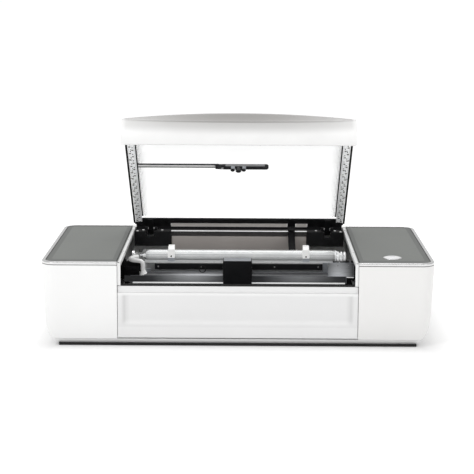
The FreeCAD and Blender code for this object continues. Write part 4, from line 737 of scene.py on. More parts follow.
def camera_bar():
    """The camera bar: a rounded housing with a lens, two pale clips and a flat cable strip."""
    low, high = lid_mm("camera_housing")
    mid, half = (low.y + high.y) / 2, (high.y - low.y) / 2
    piece = Piece("camera_case", "lid", "black_plastic", bevel=1.2, place=LID)
    outline = [(low.x, mid - half * 0.75), (low.x + 24, mid - half)]
    for step in range(13):
        angle = -math.pi / 2 + math.pi * step / 12
        outline.append((high.x - half + half * math.cos(angle), mid + half * math.sin(angle)))
    outline += [(low.x + 24, mid + half), (low.x, mid + half * 0.75)]
    piece.prism(outline, low.z, high.z - 0.05)
    piece.box((low.x + 30, mid - half * 0.55, low.z - 0.7), (high.x - 14, mid + half * 0.2,
                                                            low.z + 0.4))
    piece.done("camera_housing")

    lens_low, lens_high = lid_mm("camera_lens")
    spot = Vector(((lens_low.x + lens_high.x) / 2, (lens_low.y + lens_high.y) / 2, lens_high.z))
    barrel = Piece("camera_barrel", "lid", "lens_black", place=LID)
    reach = lens_high.z - lens_low.z
    barrel.turned(spot, (0, 0, -1), [
        (-0.3, 8.0), (reach * 0.5, 8.0), (reach * 0.55, 7.2), (reach * 0.75, 7.2),
        (reach * 0.8, 7.6), (reach * 0.97, 7.6), (reach, 7.0), (reach, 5.4),
        (reach * 0.62, 4.6), (reach * 0.7, 3.0), (reach * 0.78, 1.4), (reach * 0.8, 0.2),
    ], sides=36)
    barrel.done("camera_lens")

    clips = Piece("camera_clips", "lid", "grey_sheet", bevel=0.4, place=LID)
    knobs = Piece("camera_clip_feet", "lid", "black_plastic", place=LID)
    crown = Piece("camera_crown", "lid", "grey_sheet", "bar_grey", bevel=0.5, place=LID)
    crown.box((low.x + 26, low.y - 0.5, low.z + 0.6), (high.x - 10, low.y + 0.5, high.z - 0.3))
    crown.done()
    for x in (-15.2, 13.4):
        clips.box((x - 5.0, low.y + 0.3, low.z - 1.8), (x + 5.0, mid + 2.6, low.z + 0.3))
        knobs.turned((x - 1.0, high.y - 0.6, low.z + 0.4), (0, 0, -1), [
            (0, 5.6), (3.4, 5.6), (3.9, 5.1), (4.0, 3.0), (3.2, 2.0),
        ], sides=20)
        clips.screw((x, mid - 1.5, low.z - 1.7), (0, 0, -1), 1.4, 0.6)
    clips.done()
    knobs.done()

    arm_low, arm_high = lid_mm("camera_arm")
    strip = Piece("camera_strip", "lid", "led_board", "white_shell", bevel=0.2, place=LID)
    inner = 3.4
    strip.box((arm_low.x, arm_low.y + inner, arm_low.z + 0.6),
              (arm_high.x + 2, arm_high.y - inner, arm_high.z - 0.05))
    strip.done("camera_arm")
    rims = Piece("camera_strip_rims", "lid", "black_plastic", bevel=0.3, place=LID)
    for y in (arm_low.y, arm_high.y - inner):
        rims.box((arm_low.x, y, arm_low.z), (arm_high.x + 10, y + inner, arm_high.z - 0.05))
    rims.box((arm_low.x - 1.0, arm_low.y, arm_low.z), (arm_low.x + 1.5, arm_high.y,
                                                       arm_high.z - 0.05))
    rims.screw((low.x + 17, mid, low.z + 0.3), (0, 0, -1), 2.0, 0.8)
    rims.done()
    eyelet = Piece("camera_eyelet", "lid", "white_trim", place=LID)
    eyelet.hoop((low.x + 18, mid + 1, low.z + 0.1), (0, 0, 1), 2.4, 0.7, sides=24, around=8)
    eyelet.done()


visor()
lights()
frit()
camera_bar()


# --- the front door ----------------------------------------------------------------------


def rounding(inset, radius):
    """How far a face falls back at a distance in from its rounded edge."""
    if inset >= radius:
        return 0.0
    return radius - math.sqrt(max(0.0, radius ** 2 - (radius - inset) ** 2))


def door():
    """The door's face: a soft-edged shallow field under a set-back band, with painted shade on the field's side
    slopes and painted highlights along its foot and at the band's lower edge.
    """
    low, high = box_mm("door_panel")
    front, back, half = low.y, high.y - 0.1, high.x
    band, set_back, field_half, field_foot = 132.0, 5.0, 286.5, 52.0
    near = [0.0, 0.25, 0.6, 1.1, 1.8, 3.0, 4.5, 6.0, 8.0, 10.0, 12.0, 14.0, 17.0, 21.0]
    across = [-half + inset for inset in near]
    across += [-half + 30 + (half * 2 - 60) * step / 36 for step in range(37)]
    across += [half - inset for inset in reversed(near)]
    rise = [0.0, 0.25, 0.6, 1.1, 1.8, 3.0, 8.0, 15.0, 22.0, 26.0]
    levels = [(low.z + inset, 0.0) for inset in rise]
    levels += [(field_foot - 4 + step * 2.0, 0.0) for step in range(11)]
    levels += [(field_foot + 20 + (band - field_foot - 24) * step / 12, 0.0) for step in range(13)]
    levels += [(band - inset, rounding(inset, 1.8)) for inset in (1.8, 1.1, 0.6, 0.25, 0.0)]
    levels += [(band, set_back), (band + 0.3, set_back)]
    levels += [(band + 4 + step * 3.7, set_back) for step in range(4)]
    levels += [(high.z - inset, set_back + rounding(inset, 1.0)) for inset in (0.6, 0.25, 0.0)]
    piece = Piece("door_face", "door", "white_shell", "white_door", angle=55)
    rings, painted_light_tones = [], []
    for x in across:
        # Painted shade and highlights: each point's tone darkens the field's side slopes, lights a line along the
        # field's foot, lights the band's lower edge and sets even tones elsewhere.
        side = eased((field_half - abs(x)) / 11.0)
        dip = max(0.0, 1 - abs(field_half - 9 - abs(x)) / 9.0)
        ring = []
        for z, base in levels:
            tone = 0.74
            if field_foot - 6 < z < band:
                tone = 0.68 - 0.55 * eased(dip) * eased((z - field_foot + 4) / 14)
            tone += 0.34 * eased(1 - abs(z - field_foot - 6) / 9.0) * side
            if band - 5 < z < band + 3:
                tone = 1.0
            if z < field_foot - 6:
                tone = 0.85
            painted_light_tones.append(tone)
            field = 0.0
            if z < band:
                field = 2.2 * side * eased((z - field_foot + 2) / 14.0)
                field *= eased((band - z) / 3.0 + 0.35)
            edge = max(rounding(half - abs(x), 1.8), rounding(z - low.z, 1.8))
            ring.append(Vector((x, front + max(base + field, edge), z)) * MM)
        ring += [Vector((x, back, z)) * MM for z in (high.z, band, field_foot, low.z)]
        painted_light_tones += [0.8] * 4
        rings.append(ring)
    piece.rings(rings)
    piece.done("door_panel", painted_light_tones=painted_light_tones)


# --- the gantry --------------------------------------------------------------------------


def tube_axis():
    """The glass tube's centre and radius: a little slimmer than its CAD space, and low in it."""
    low, high = box_mm("laser_tube")
    slim = 1.4
    radius = (high.z - low.z) / 2 - slim
    return (low.y + high.y) / 2, (low.z + high.z) / 2 - slim, radius


def laser_tube():
    """Nested glass: a jacket with rounded shoulders, a pale core, a sleeve painted lighter on top and darker
    below, metal ends and a cooling coil.
    """
    low, high = box_mm("laser_tube")
    y, z, radius = tube_axis()
    left, right = low.x + 35, high.x - 22
    jacket = Piece("tube_jacket", "gantry", "clear_glass", "tube_glass", angle=70)
    profile = [(low.x + 9, 8.6), (left - 12, 8.8)]
    for step in range(9):
        turn = math.pi / 2 * step / 8
        profile.append((left - 8 + 10 * (1 - math.cos(turn)), 9 + (radius - 9) * math.sin(turn)))
    for step in range(9):
        turn = math.pi / 2 * (8 - step) / 8
        profile.append((right + 2 - 10 * (1 - math.cos(turn)), 9 + (radius - 9) * math.sin(turn)))
    profile += [(right + 6, 8.8), (high.x - 1, 8.6)]
    jacket.turned((0, y, z), (1, 0, 0), profile, sides=56, closed_ends=False)
    jacket.done("laser_tube")

    core = Piece("tube_core", "gantry", "clear_glass", "tube_core", angle=60)
    core.turned((0, y, z), (1, 0, 0), [
        (left - 6, 4.5), (left + 10, 4.8), (left + 18, 8.4), (left + 24, 8.8), (right - 30, 8.8),
        (right - 24, 8.4), (right - 16, 4.8), (right + 8, 4.5),
    ], sides=40)
    for index in range(4):
        core.hoop((right - 5 + index * 8.6, y, z), (1, 0.12, 0), 11.0, 2.3, sides=28)
    core.tube([(right - 6, y - 4, z + radius - 3), (right + 2, y - 6, z + 11),
               (right + 12, y - 11, z + 4), (right + 20, y - 8, z - 6)], 2.6, sides=12)
    core.done()

    sleeve = Piece("tube_sleeve", "gantry", "clear_glass", "tube_body", angle=50)
    rings, painted_light_tones = [], []
    profile = [(left + 2, 9.2), (left + 8, 13.8), (left + 16, 15.2), (right - 16, 15.2),
               (right - 8, 13.8), (right - 2, 9.2)]
    around = 64
    for x, out in profile:
        ring = []
        for step in range(around):
            turn = math.tau * step / around
            ring.append(Vector((x, y - out * math.cos(turn), z + out * math.sin(turn))) * MM)
            # Painted light: brighter on top, darker below, with two darker lines.
            line = 0.45 if step in (4, 9) else 0.0
            painted_light_tones.append(max(0.0, (0.62 + 0.38 * math.sin(turn)) - line))
        rings.append(ring)
    sleeve.rings(rings)
    sleeve.done(painted_light_tones=painted_light_tones)

    ends = Piece("tube_ends", "gantry", "steel", "bright_steel", bevel=0.3, angle=35)
    ends.turned((low.x, y, z), (1, 0, 0), [
        (0.0, 11.0), (0.6, 15.0), (2.4, 15.0), (2.6, 13.2), (4.6, 13.2), (4.8, 15.0), (7.2, 15.0),
        (7.6, 10.0), (9.0, 10.0),
    ], sides=40)
    ends.turned((high.x - 4.5, y, z), (1, 0, 0), [(0, 9.4), (0.4, 10), (3.6, 10), (4.4, 8)],
                sides=32)
    ends.turned((left - 14, y, z), (1, 0, 0), [(0, 4.5), (16, 4.5), (18, 3)], sides=20)
    for turn in range(3):
        angle = math.tau * (turn + 0.25) / 3
        ends.screw((low.x + 0.2, y + 12.6 * math.cos(angle), z + 12.6 * math.sin(angle)),
                   (-1, 0, 0), 1.5, 0.8)
    ends.done()

    wires = Piece("tube_wires", "gantry", "black_rubber")
    wires.tube([(left - 12, y + 4, z + 5), (left - 16, y + 14, z + 12), (left - 10, y + 24, z - 4),
                (left + 6, y + 26, z - 18)], 1.5, sides=10)
    wires.done()


def clamps():
    """Two-part saddles round the tube: a base, a cap with ears, and dark screws."""
    low, high = box_mm("tube_clamps")
    y, z, bore = tube_axis()
    bore += 0.3
    wide = 16.0
    piece = Piece("clamp_saddles", "gantry", "white_trim", "ceramic", bevel=0.9)
    bolts = Piece("clamp_bolts", "gantry", "black_plastic")
    pads = Piece("clamp_feet", "gantry", "grey_sheet", bevel=0.3)
    for side in (-1, 1):
        x = side * (high.x - 9)
        arc = [(y + bore * math.cos(a), z + bore * math.sin(a))
               for a in (math.pi * step / 24 for step in range(25))]
        cap = arc + [(low.y + 7, z + 0.4), (low.y + 7, z + 3)]
        cap += [(low.y + 7.5, high.z - 5), (low.y + 12, high.z), (high.y - 12, high.z),
                (high.y - 7.5, high.z - 5), (high.y - 7, z + 3), (high.y - 7, z + 0.4)]
        cap[0] = (y + bore, z + 0.4)
        cap[24] = (y - bore, z + 0.4)
        piece.prism(cap, x - wide / 2, x + wide / 2, "x")
        base = [(low.y, low.z), (low.y, z - 0.3), (y - bore, z - 0.3)]
        dip = math.asin((z - low.z) / bore) if z - low.z < bore else math.pi / 2
        base += [(y - bore * math.cos(dip * step / 4), z - bore * math.sin(dip * step / 4))
                 for step in range(1, 4)]
        base += [(y - bore * math.cos(dip) - 0.1, low.z)]
        piece.prism(base, x - wide / 2, x + wide / 2, "x")
        piece.prism([(2 * y - a, b) for a, b in base], x - wide / 2, x + wide / 2, "x")
        piece.box((x - wide / 2 - 1, low.y, low.z), (x + wide / 2 + 1, low.y + 1.6, high.z - 5.5))
        bolts.screw((x, low.y, z + 3.5), (0, -1, 0), 2.3, 1.1)
        bolts.screw((x, low.y, low.z + 3.2), (0, -1, 0), 1.8, 0.9)
        for deep in (low.y + 3.4, high.y - 3.4):
            bolts.screw((x, deep, z - 0.3), (0, 0, 1), 2.0, 1.2)
        pads.box((x - 9, low.y - 0.2, low.z - 8), (x + 9, low.y + 1.8, low.z - 0.2))
        pads.box((x - 9, low.y - 0.2, low.z - 9.6), (x + 9, low.y + 6, low.z - 8))
    piece.done("tube_clamps")
    bolts.done()
    pads.done()


def gantry_trim():
    """Screws, a hem that gives off light as a painted highlight, rollers, a dark block, a grommet and sheets with
    painted highlights on the gantry.
    """
    rail_low, rail_high = box_mm("x_rail")
    apron_low, apron_high = box_mm("gantry_apron")
    truck_high = box_mm("gantry_trucks")[1]
    beam_top = 147.9
    screws = Piece("gantry_screws", "gantry", "steel")
    mid = (rail_low.z + rail_high.z) / 2
    for x in (-212, -99, 95, 210):
        screws.screw((x, rail_low.y, mid), (0, -1, 0), 2.2, 0.15)
    for index in range(-3, 4):
        screws.screw((index * 76.0 + 11, rail_high.y + 8, beam_top), (0, 0, 1), 2.0, 0.9)
    for side in (-1, 1):
        for deep in (8, 22):
            screws.screw((side * 296, rail_high.y + deep, truck_high.z), (0, 0, 1), 2.4, 1.2)
        screws.screw((side * 267, rail_high.y + 15, beam_top), (0, 0, 1), 2.2, 1.0)
    for x in (236, 262, 290):
        screws.screw((x, apron_high.y - 4.1, 143), (0, -1, 0), 2.0, 0.8)
    screws.done()
    # The hem gives off light as a painted highlight.
    hem = Piece("apron_hem", "gantry", "aluminium", "hem_painted_highlight", bevel=0.3)
    foot = apron_low.z
    hem.prism([(apron_low.y - 1.0, foot - 2.2), (apron_low.y + 2.8, foot - 2.2),
               (apron_low.y + 2.8, foot + 1.2), (apron_low.y + 0.6, foot + 1.8),
               (apron_low.y - 1.0, foot + 0.6)], apron_low.x + 6, -apron_low.x - 4, "x")
    hem.done()
    seam = Piece("beam_lines", "gantry", "grey_sheet", "aluminium", bevel=0.25)
    seam.box((-249, rail_high.y - 0.5, 146.4), (249, rail_high.y + 1.2, 148.3))
    seam.box((-249, rail_high.y + 27.0, 147.4), (249, rail_high.y + 30, 149.2))
    seam.done()
    block = Piece("cable_block", "gantry", "black_plastic", bevel=1.2)
    plate = rail_high.y - 4
    block.box((-301, plate - 3.5, 121), (-263, plate + 0.2, 137))
    block.box((-297, plate - 4.4, 124), (-283, plate - 3, 134))
    block.box((-280, plate - 4.4, 124), (-267, plate - 3, 134))
    block.done()
    rollers = Piece("truck_rollers", "gantry", "black_plastic")
    hubs = Piece("truck_hubs", "gantry", "steel", "bright_steel")
    for side in (-1, 1):
        for deep in (7, 23):
            spot = (side * (truck_high.x - 1.5), rail_high.y + deep, 122)
            rollers.turned(spot, (side, 0, 0), [(0, 5.5), (0.4, 6.0), (1.1, 6.0), (1.4, 5.5)],
                           sides=28)
            hubs.screw((side * (truck_high.x - 0.4), rail_high.y + deep, 122), (side, 0, 0),
                       2.4, 0.35)
    rollers.done()
    hubs.done()
    ring = Piece("grommet", "gantry", "black_rubber")
    ring.hoop((-95, rail_low.y - 4.5, 133), (0, -1, 0.25), 8.6, 1.0, sides=36)
    ring.done()
    # Three sheets with painted highlights: soft bright spots standing in for reflections.
    plate = apron_high.y - 4.6
    sheet = [(plate, 112), (plate, 128), (plate, apron_high.z - 1)]
    sheet_with_painted_sheen("truck_plate", (236, 303), sheet, (0.85, 0.65, 0.4), [(0.4, 0.7, 1.0)])
    face = apron_low.y - 0.4
    sheet = [(face, foot + 2.0), (face, foot + 10), (face, foot + 18.0)]
    sheet_with_painted_sheen("apron_face", (apron_low.x - 16, -apron_low.x - 2), sheet, (0.5, 0.75, 1.0),
                [(0.3, 0.2, 0.45), (0.8, 0.2, 0.3)])
    bend = [(face, foot + 18.6), (face + 8.5, foot + 21.8), (rail_low.y - 0.2, foot + 24.6)]
    sheet_with_painted_sheen("apron_bend", (-248, 234), bend, (1.0, 1.0, 0.5), [(0.3, 0.25, 0.3)])
    # A painted highlight along the plate's edge.
    edge = Piece("truck_plate_hem", "gantry", "aluminium", "hem_painted_highlight", bevel=0.3)
    edge.box((252, apron_high.y - 5.4, 110.4), (304, apron_high.y - 3.8, 112.2))
    edge.done()


def sheet_with_painted_sheen(name, x, profile, fades, spots):
    """A thin brushed sheet with painted highlights: soft bright spots on a dark ground, standing in for the
    reflections on bent metal.

    Each spot is (middle, reach, peak), in shares of the width. Fades go up the profile.
    """
    piece = Piece(name, "gantry", "grey_sheet", "painted_sheen_metal")
    rings, painted_light_tones = [], []
    for step in range(25):
        share = step / 24
        across = x[0] + (x[1] - x[0]) * share
        ring = [(across, y, z) for y, z in profile]
        ring += [(across, y + 0.5, z + 0.1) for y, z in reversed(profile)]
        rings.append([Vector(spot) * MM for spot in ring])
        bright = sum(peak * eased(1 - abs(share - middle) / reach)
                     for middle, reach, peak in spots)
        tones = [0.03 + fade * bright for fade in fades]
        painted_light_tones += tones + tones[::-1]
    piece.rings(rings)
    piece.done(painted_light_tones=painted_light_tones)


def hose():
    """The white elbow from the tube's end over the left truck and down to its block."""
    low = box_mm("laser_tube")[0]
    _, y, z = middle_of("laser_tube")
    front = box_mm("x_rail")[1].y
    piece = Piece("hose_elbow", "gantry", "white_hose", angle=80)
    piece.tube([
        (low.x + 16, y - 13, z - 2), (low.x + 5, y - 24, z - 2), (low.x - 1, front + 18, z - 3),
        (low.x - 1, front + 9, z - 4), (low.x + 7, front - 1, z - 4),
        (low.x + 18, front - 6, z - 4), (low.x + 27, front - 8, z - 5),
        (low.x + 31.5, front - 9, z - 9), (low.x + 33, front - 9, z - 17),
        (low.x + 33, front - 9, z - 26), (low.x + 35, front - 9, z - 36),
    ], 5.6, sides=24)
    piece.turned((low.x + 34, front - 9, z - 31), (0.2, 0, -1), [
        (0, 6.2), (1, 6.8), (3, 7.2), (6, 9.0), (8, 11.0), (8.8, 11.0),
    ], sides=28)
    piece.done("coolant_hose")


def ribbon():
    """The flat cable carrier: ribbed links along a smooth drop, with an end clamp."""
    low, high = box_mm("umbilical")
    x, wide = (low.x + high.x) / 2, (high.x - low.x) / 2
    top, foot = high.z - 1.5, low.z + 1.5
    back, front = high.y, low.y + 0.5
    path = [(x, back, top), (x, back - 18, top), (x, back - 33, top - 2), (x, back - 44, top - 11),
            (x, back - 60, top - 24), (x, back - 78, top - 30), (x, front + 26, foot + 9),
            (x, front + 12, foot + 6), (x, front + 1, foot)]
    line = smooth(path, 14)
    even, run = [line[0]], 0.0
    for first, second in zip(line, line[1:]):
        run += (second - first).length
        if run >= 0.8:
            even.append(second)
            run = 0.0
    piece = Piece("ribbed_carrier", "gantry", "black_rubber", "ribbon", angle=30)
    side = Vector((1, 0, 0))
    rings = []
    for index, spot in enumerate(even):
        ahead = (even[min(index + 1, len(even) - 1)] - even[max(index - 1, 0)]).normalized()
        up = side.cross(ahead)
        link = index % 4 < 2
        thick, reach = (1.45, wide) if link else (0.95, wide - 0.7)
        rings.append([(spot + side * a * reach + up * b * thick) * MM
                      for a, b in ((-1, -1), (1, -1), (1, 1), (-1, 1))])
    piece.rings(rings)
    made = piece.done("umbilical", ride=False)
    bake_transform(made)
    clip = Piece("carrier_clip", "gantry", "steel", bevel=0.3)
    clip.box((x - wide - 2, front - 4.6, foot - 3.5), (x + wide + 2, front - 3.4, foot + 1))
    clip.screw((x - wide - 0.4, front - 4.5, foot - 1), (0, -1, 0), 1.4, 0.7)
    clip.screw((x + wide + 0.4, front - 4.5, foot - 1), (0, -1, 0), 1.4, 0.7)
    clip.done()


def head():
    """The head's mouldings: a cap, side louvres and knobs, a top plate and screws, and the nozzle."""
    low, high = box_mm("laser_head")
    cap = Piece("head_cap", "carriage", "black_plastic", bevel=0.8)
    cap.box((low.x + 5, low.y - 0.35, low.z + 6), (high.x - 5, low.y + 0.4, high.z - 6))
    for side in (low.x, high.x):
        for index in range(6):
            z = low.z + 16 + index * 7
            cap.box((side - 0.7, low.y + 9, z), (side + 0.7, high.y - 9, z + 2.6),
                    Matrix.Rotation(math.radians(14 if side > 0 else -14), 4, "Y"))
        out = 1 if side > 0 else -1
        cap.turned((side - out * 0.5, low.y + 8, high.z - 12), (out, 0, 0), [
            (0, 4.8), (2.0, 4.8), (2.6, 4.2),
        ], sides=20)
    cap.done()
    plate = Piece("head_plate", "carriage", "grey_sheet", bevel=0.8)
    plate.box((low.x + 2, low.y + 1.5, high.z - 0.3), (high.x - 2, high.y - 2, high.z + 1.2))
    plate.done()
    marks = Piece("head_screws", "carriage", "steel")
    for x in (low.x + 10, high.x - 10):
        marks.screw((x, high.y - 9, high.z + 1.1), (0, 0, 1), 1.8, 0.8)
    marks.done()
    x, y, _ = middle_of("lens_carrier")
    nozzle = Piece("nozzle", "focus_carrier", "steel", "brass")
    nozzle.turned((x, y, box_mm("lens_carrier")[0].z + 0.2), (0, 0, 1), [
        (0, 2.0), (0.4, 3.4), (5.0, 4.5), (6.0, 5.2), (8.0, 5.2), (8.4, 4.4),
    ], sides=28)
    nozzle.done()


door()
laser_tube()
clamps()
gantry_trim()
hose()
ribbon()
head()


# --- behind the lid, under it and around the case ----------------------------------------


def lid_back():
    """The lid's rear edge: black hinge leaves, a warm grey lip and the cable's black keeper."""
    cable_low, cable_high = box_mm("umbilical")
    cover_high = box_mm("hinge_covers")[1]
    strip_inner = cable_low.x - 1.5, cable_high.x + 1.5
    leaves = Piece("hinge_leaves", "lid", "black_sheet", bevel=0.4, place=LID)
    keeper = Piece("cable_keeper", "lid", "black_plastic", bevel=0.4, place=LID)
    lip = Piece("lid_lip", "lid", "warm_grey_sheet", "warm_light", bevel=0.3, place=LID)
    inner = 187.5
    for side in (-1, 1):
        leaves.box((side * inner, -33.5, 0.6), (side * (cover_high.x - 4), -9.0, 2.4))
    keeper.box((strip_inner[0], -33.5, 1.3), (strip_inner[1], -9.0, 2.6))
    lip.box((-inner + 0.5, -25.4, 1.0), (strip_inner[0] - 0.5, -10.0, 2.2))
    lip.box((strip_inner[1] + 0.5, -25.4, 1.0), (inner - 0.5, -10.0, 2.2))
    leaves.done()
    keeper.done()
    lip.done()
    rods = Piece("lid_corner_brackets", "lid", "black_plastic", bevel=0.5, place=LID)
    for side in (-1, 1):
        rods.box((side * 266, -29.0, -0.7), (side * 286, -22.0, 2.9))
    rods.done()


def rear_band():
    """A polished rod along the plenum's front edge, which gives off light as a painted highlight, and the dark
    strip behind the hinges.
    """
    low, high = box_mm("rear_plenum")
    hem = Piece("plenum_rod", "chassis", "steel", "hem_painted_highlight")
    hem.turned((low.x, low.y - 1.0, high.z + 0.4), (1, 0, 0), [
        (0, 0.8), (0.5, 1.4), (high.x - low.x - 0.5, 1.4), (high.x - low.x, 0.8),
    ], sides=20)
    hem.done()
    baffle = Piece("rear_baffle", "chassis", "black_sheet", bevel=0.3)
    half = box_mm("hinge_covers")[1].x - 3
    baffle.box((-half, high.y - 1.4, high.z + 0.2), (half, high.y + 0.2, high.z + 6.8))
    for side in (-1, 1):
        baffle.box((side * 233, high.y - 2.6, high.z - 15), (side * 253, high.y - 0.4, high.z - 0.4))
    baffle.done()
    louvres = Piece("deflector_ribs", "chassis", "warm_grey_sheet", bevel=0.4)
    plate_low, plate_high = box_mm("rear_deflector")
    for x in (plate_low.x + 3, plate_high.x - 3):
        louvres.box((x - 3, plate_low.y - 1.2, plate_low.z), (x + 3, plate_low.y + 0.3,
                                                             plate_high.z))
    louvres.done()


def seal_ring(piece, side, inset, wide, foot, top, front_wide=None):
    """A thin frame that follows a pod glass: round at its two outer corners."""
    low, high = box_mm("pod_glasses")
    inner, outer = box_mm("bay_trims")[1].x + 1.2, high.x - inset
    front, back = low.y + inset, high.y - inset
    round_off = 26.0 - inset

    def loop(step):
        spots = [(inner + step, front + step)]
        for centre_y, start in ((front + round_off, -90), (back - round_off, 0)):
            for turn in range(13):
                angle = math.radians(start + turn * 7.5)
                reach = round_off - step
                spots.append((outer - round_off + reach * math.cos(angle),
                              centre_y + reach * math.sin(angle)))
        spots.append((inner + step, back - step))
        return spots

    outside, within = loop(0.0), loop(wide)
    if front_wide:
        half = (front + back) / 2
        shift = front_wide - wide
        within = [(x, y + shift * max(0.0, half - y) / (half - front)) for x, y in within]
    rings = []
    for (a, b), (c, e) in zip(outside + outside[:1], within + within[:1]):
        rings.append([Vector((side * x, y, z)) * MM for x, y, z in
                      ((a, b, foot), (a, b, top), (c, e, top), (c, e, foot))])
    piece.rings(rings, closed_ends=False)


def pod_tops():
    """A dark seal round each pod's glass, a dark border just inside it, and the start button's bright ring and
    grey mark.
    """
    high = box_mm("pod_glasses")[1]
    seal = Piece("glass_seals", "chassis", "black_rubber")
    for side in (-1, 1):
        seal_ring(seal, side, -0.1, 1.5, high.z - 0.3, high.z + 0.35)
    seal.done()
    border = Piece("glass_borders", "chassis", "black_sheet", "glass_border")
    for side in (-1, 1):
        seal_ring(border, side, 1.6, 12.0, high.z - 0.2, high.z + 0.04, front_wide=30.0)
    border.done()
    x, y, _ = middle_of("start_button_ring")
    rim = box_mm("start_button_ring")[1].z
    ring = Piece("button_bezel", "chassis", "steel", "bright_steel")
    ring.hoop((x, y, rim - 0.1), (0, 0, 1), 22.0, 0.8, sides=56)
    ring.done()
    dome = box_mm("start_button")[1].z
    mark = Piece("button_mark", "button", "grey_sheet")
    mark.hoop((x, y, dome - 0.33), (0, 0, 1), 5.6, 0.38, sides=40)
    mark.done()


def trim_details():
    """Black rubber stops at the front ends of the trims and screws down their tops."""
    low, high = box_mm("bay_trims")
    stops = Piece("lid_stops", "chassis", "black_rubber", bevel=0.4)
    marks = Piece("trim_screws", "chassis", "steel")
    for side in (-1, 1):
        x = side * (high.x - 3.4)
        stops.turned((x, low.y + 6, high.z - 0.2), (0, 0, 1), [(0, 2.7), (0.5, 2.7), (0.7, 2.2)],
                     sides=24)
        for depth in (0.3, 0.62, 0.93):
            marks.screw((x, low.y + (high.y - low.y) * depth, high.z), (0, 0, 1), 1.7, 0.7)
    stops.done()
    marks.done()
    clip = Piece("door_bumpers", "door", "black_rubber", bevel=0.5)
    seal_low, seal_high = box_mm("door_seal")
    for side in (-1, 1):
        clip.box((side * 186 - 27, seal_low.y + 0.6, seal_high.z - 0.5),
                 (side * 186 + 27, seal_high.y - 0.6, seal_high.z + 0.3))
    clip.box((seal_low.x + 1, seal_high.y - 2.4, seal_high.z - 0.5),
             (seal_high.x - 1, seal_high.y - 0.4, seal_high.z + 0.25))
    clip.done()
    # Painted shadow: a black frame under the base pan's edges, standing in for the contact shadow beneath the
    # machine.
    shadow = Piece("base_painted_shadow", "chassis", "black_rubber", bevel=0.4)
    pan_low, pan_high = box_mm("base_pan")
    front, back = max(pan_low.y - 0.3, cad_box[0][1] / MM), pan_high.y - 4
    left, right = pan_low.x + 14, pan_high.x - 14
    for a, b, c, e in ((left, front, right, front + 5), (left, back - 5, right, back),
                       (left, front + 5, left + 5, back - 5),
                       (right - 5, front + 5, right, back - 5)):
        shadow.box((a, b, 0.5), (c, e, pan_low.z + 1.5))
    shadow.done()


def bed():
    """The honeycomb: thin hexagonal cells in a frame, and screws on the tray's rim."""
    low, high = box_mm("honeycomb_bed")
    cell, wall = 9.5, 0.5
    reach = cell / math.sqrt(3)
    comb = Piece("honeycomb", "chassis", slots["honeycomb_bed"], "hex_foil")
    top, foot = high.z, high.z - 12.0
    columns = int((high.x - low.x - 8) / (reach * 1.5))
    rows = int((high.y - low.y - 8) / cell)
    start_x = (low.x + high.x) / 2 - (columns - 1) * reach * 0.75
    start_y = (low.y + high.y) / 2 - (rows - 1) * cell / 2
    seen = set()
    for column in range(columns):
        for row in range(rows):
            x = start_x + column * reach * 1.5
            y = start_y + row * cell + (cell / 2 if column % 2 else 0)
            if y > high.y - 6:
                continue
            corners = [Vector((x + reach * math.cos(math.radians(60 * k)),
                               y + reach * math.sin(math.radians(60 * k)))) for k in range(6)]
            for first, second in zip(corners, corners[1:] + corners[:1]):
                middle = (first + second) / 2
                key = (round(middle.x), round(middle.y))
                if key in seen:
                    continue
                seen.add(key)
                across = (second - first).normalized()
                side = Vector((-across.y, across.x)) * wall / 2
                spots = [first + side, second + side, second - side, first - side]
                verts = [comb.mesh.verts.new(Vector((spot.x, spot.y, level)) * MM)
                         for level in (foot, top) for spot in spots]
                for face in ((0, 1, 5, 4), (2, 3, 7, 6), (4, 5, 6, 7), (3, 2, 1, 0), (1, 2, 6, 5),
                             (0, 4, 7, 3)):
                    comb.mesh.faces.new([verts[k] for k in face])
    comb.box((low.x, low.y, low.z), (high.x, low.y + 4, high.z))
    comb.box((low.x, high.y - 4, low.z), (high.x, high.y, high.z))
    comb.box((low.x, low.y + 4, low.z), (low.x + 4, high.y - 4, high.z))
    comb.box((high.x - 4, low.y + 4, low.z), (high.x, high.y - 4, high.z))
    comb.box((low.x + 4, low.y + 4, low.z), (high.x - 4, high.y - 4, low.z + 1))
    comb.done("honeycomb_bed")
    rim_low, rim_high = box_mm("tray_frame")
    marks = Piece("tray_screws", "chassis", "steel")
    for x in (-250, -125, 0, 125, 250):
        for y in (rim_low.y + 6, rim_high.y - 6):
            marks.screw((x, y, rim_high.z), (0, 0, 1), 2.2, 0.8)
    marks.done()


def exhaust():
    """Outside: a ribbed collar and a finger guard."""
    x, _, z = middle_of("exhaust_collar")
    cover = box_mm("rear_cover")[1].y
    end = box_mm("exhaust_collar")[1].y
    ribs = Piece("collar_ribs", "chassis", "black_plastic")
    ribs.turned((x, end - 1.2, z), (0, 1, 0), [
        (0, 49.6), (0.3, 50.0), (0.9, 50.0), (1.1, 49.0), (1.1, 47.2), (0, 47.2),
    ], sides=72, closed_ends=False)
    for step in (-17.0, -12.0):
        ribs.hoop((x, end + step, z), (0, 1, 0), 49.6, 0.35, sides=72, around=8)
    ribs.done()
    guard = Piece("finger_guard", "chassis", "steel")
    depth = cover - 14.0
    for radius in (12, 22, 32, 42):
        guard.hoop((x, depth, z), (0, 1, 0), radius, 0.9, sides=60, around=8)
    for turn in range(4):
        angle = math.radians(45 + 90 * turn)
        guard.turned((x + 10 * math.cos(angle), depth + 1.2, z + 10 * math.sin(angle)),
                     (math.cos(angle), 0, math.sin(angle)), [(0, 0.9), (37, 0.9)], sides=10)
    guard.turned((x, depth - 1, z), (0, 1, 0), [(0, 11.5), (1.4, 12), (2.2, 10.5)], sides=40)
    guard.done()


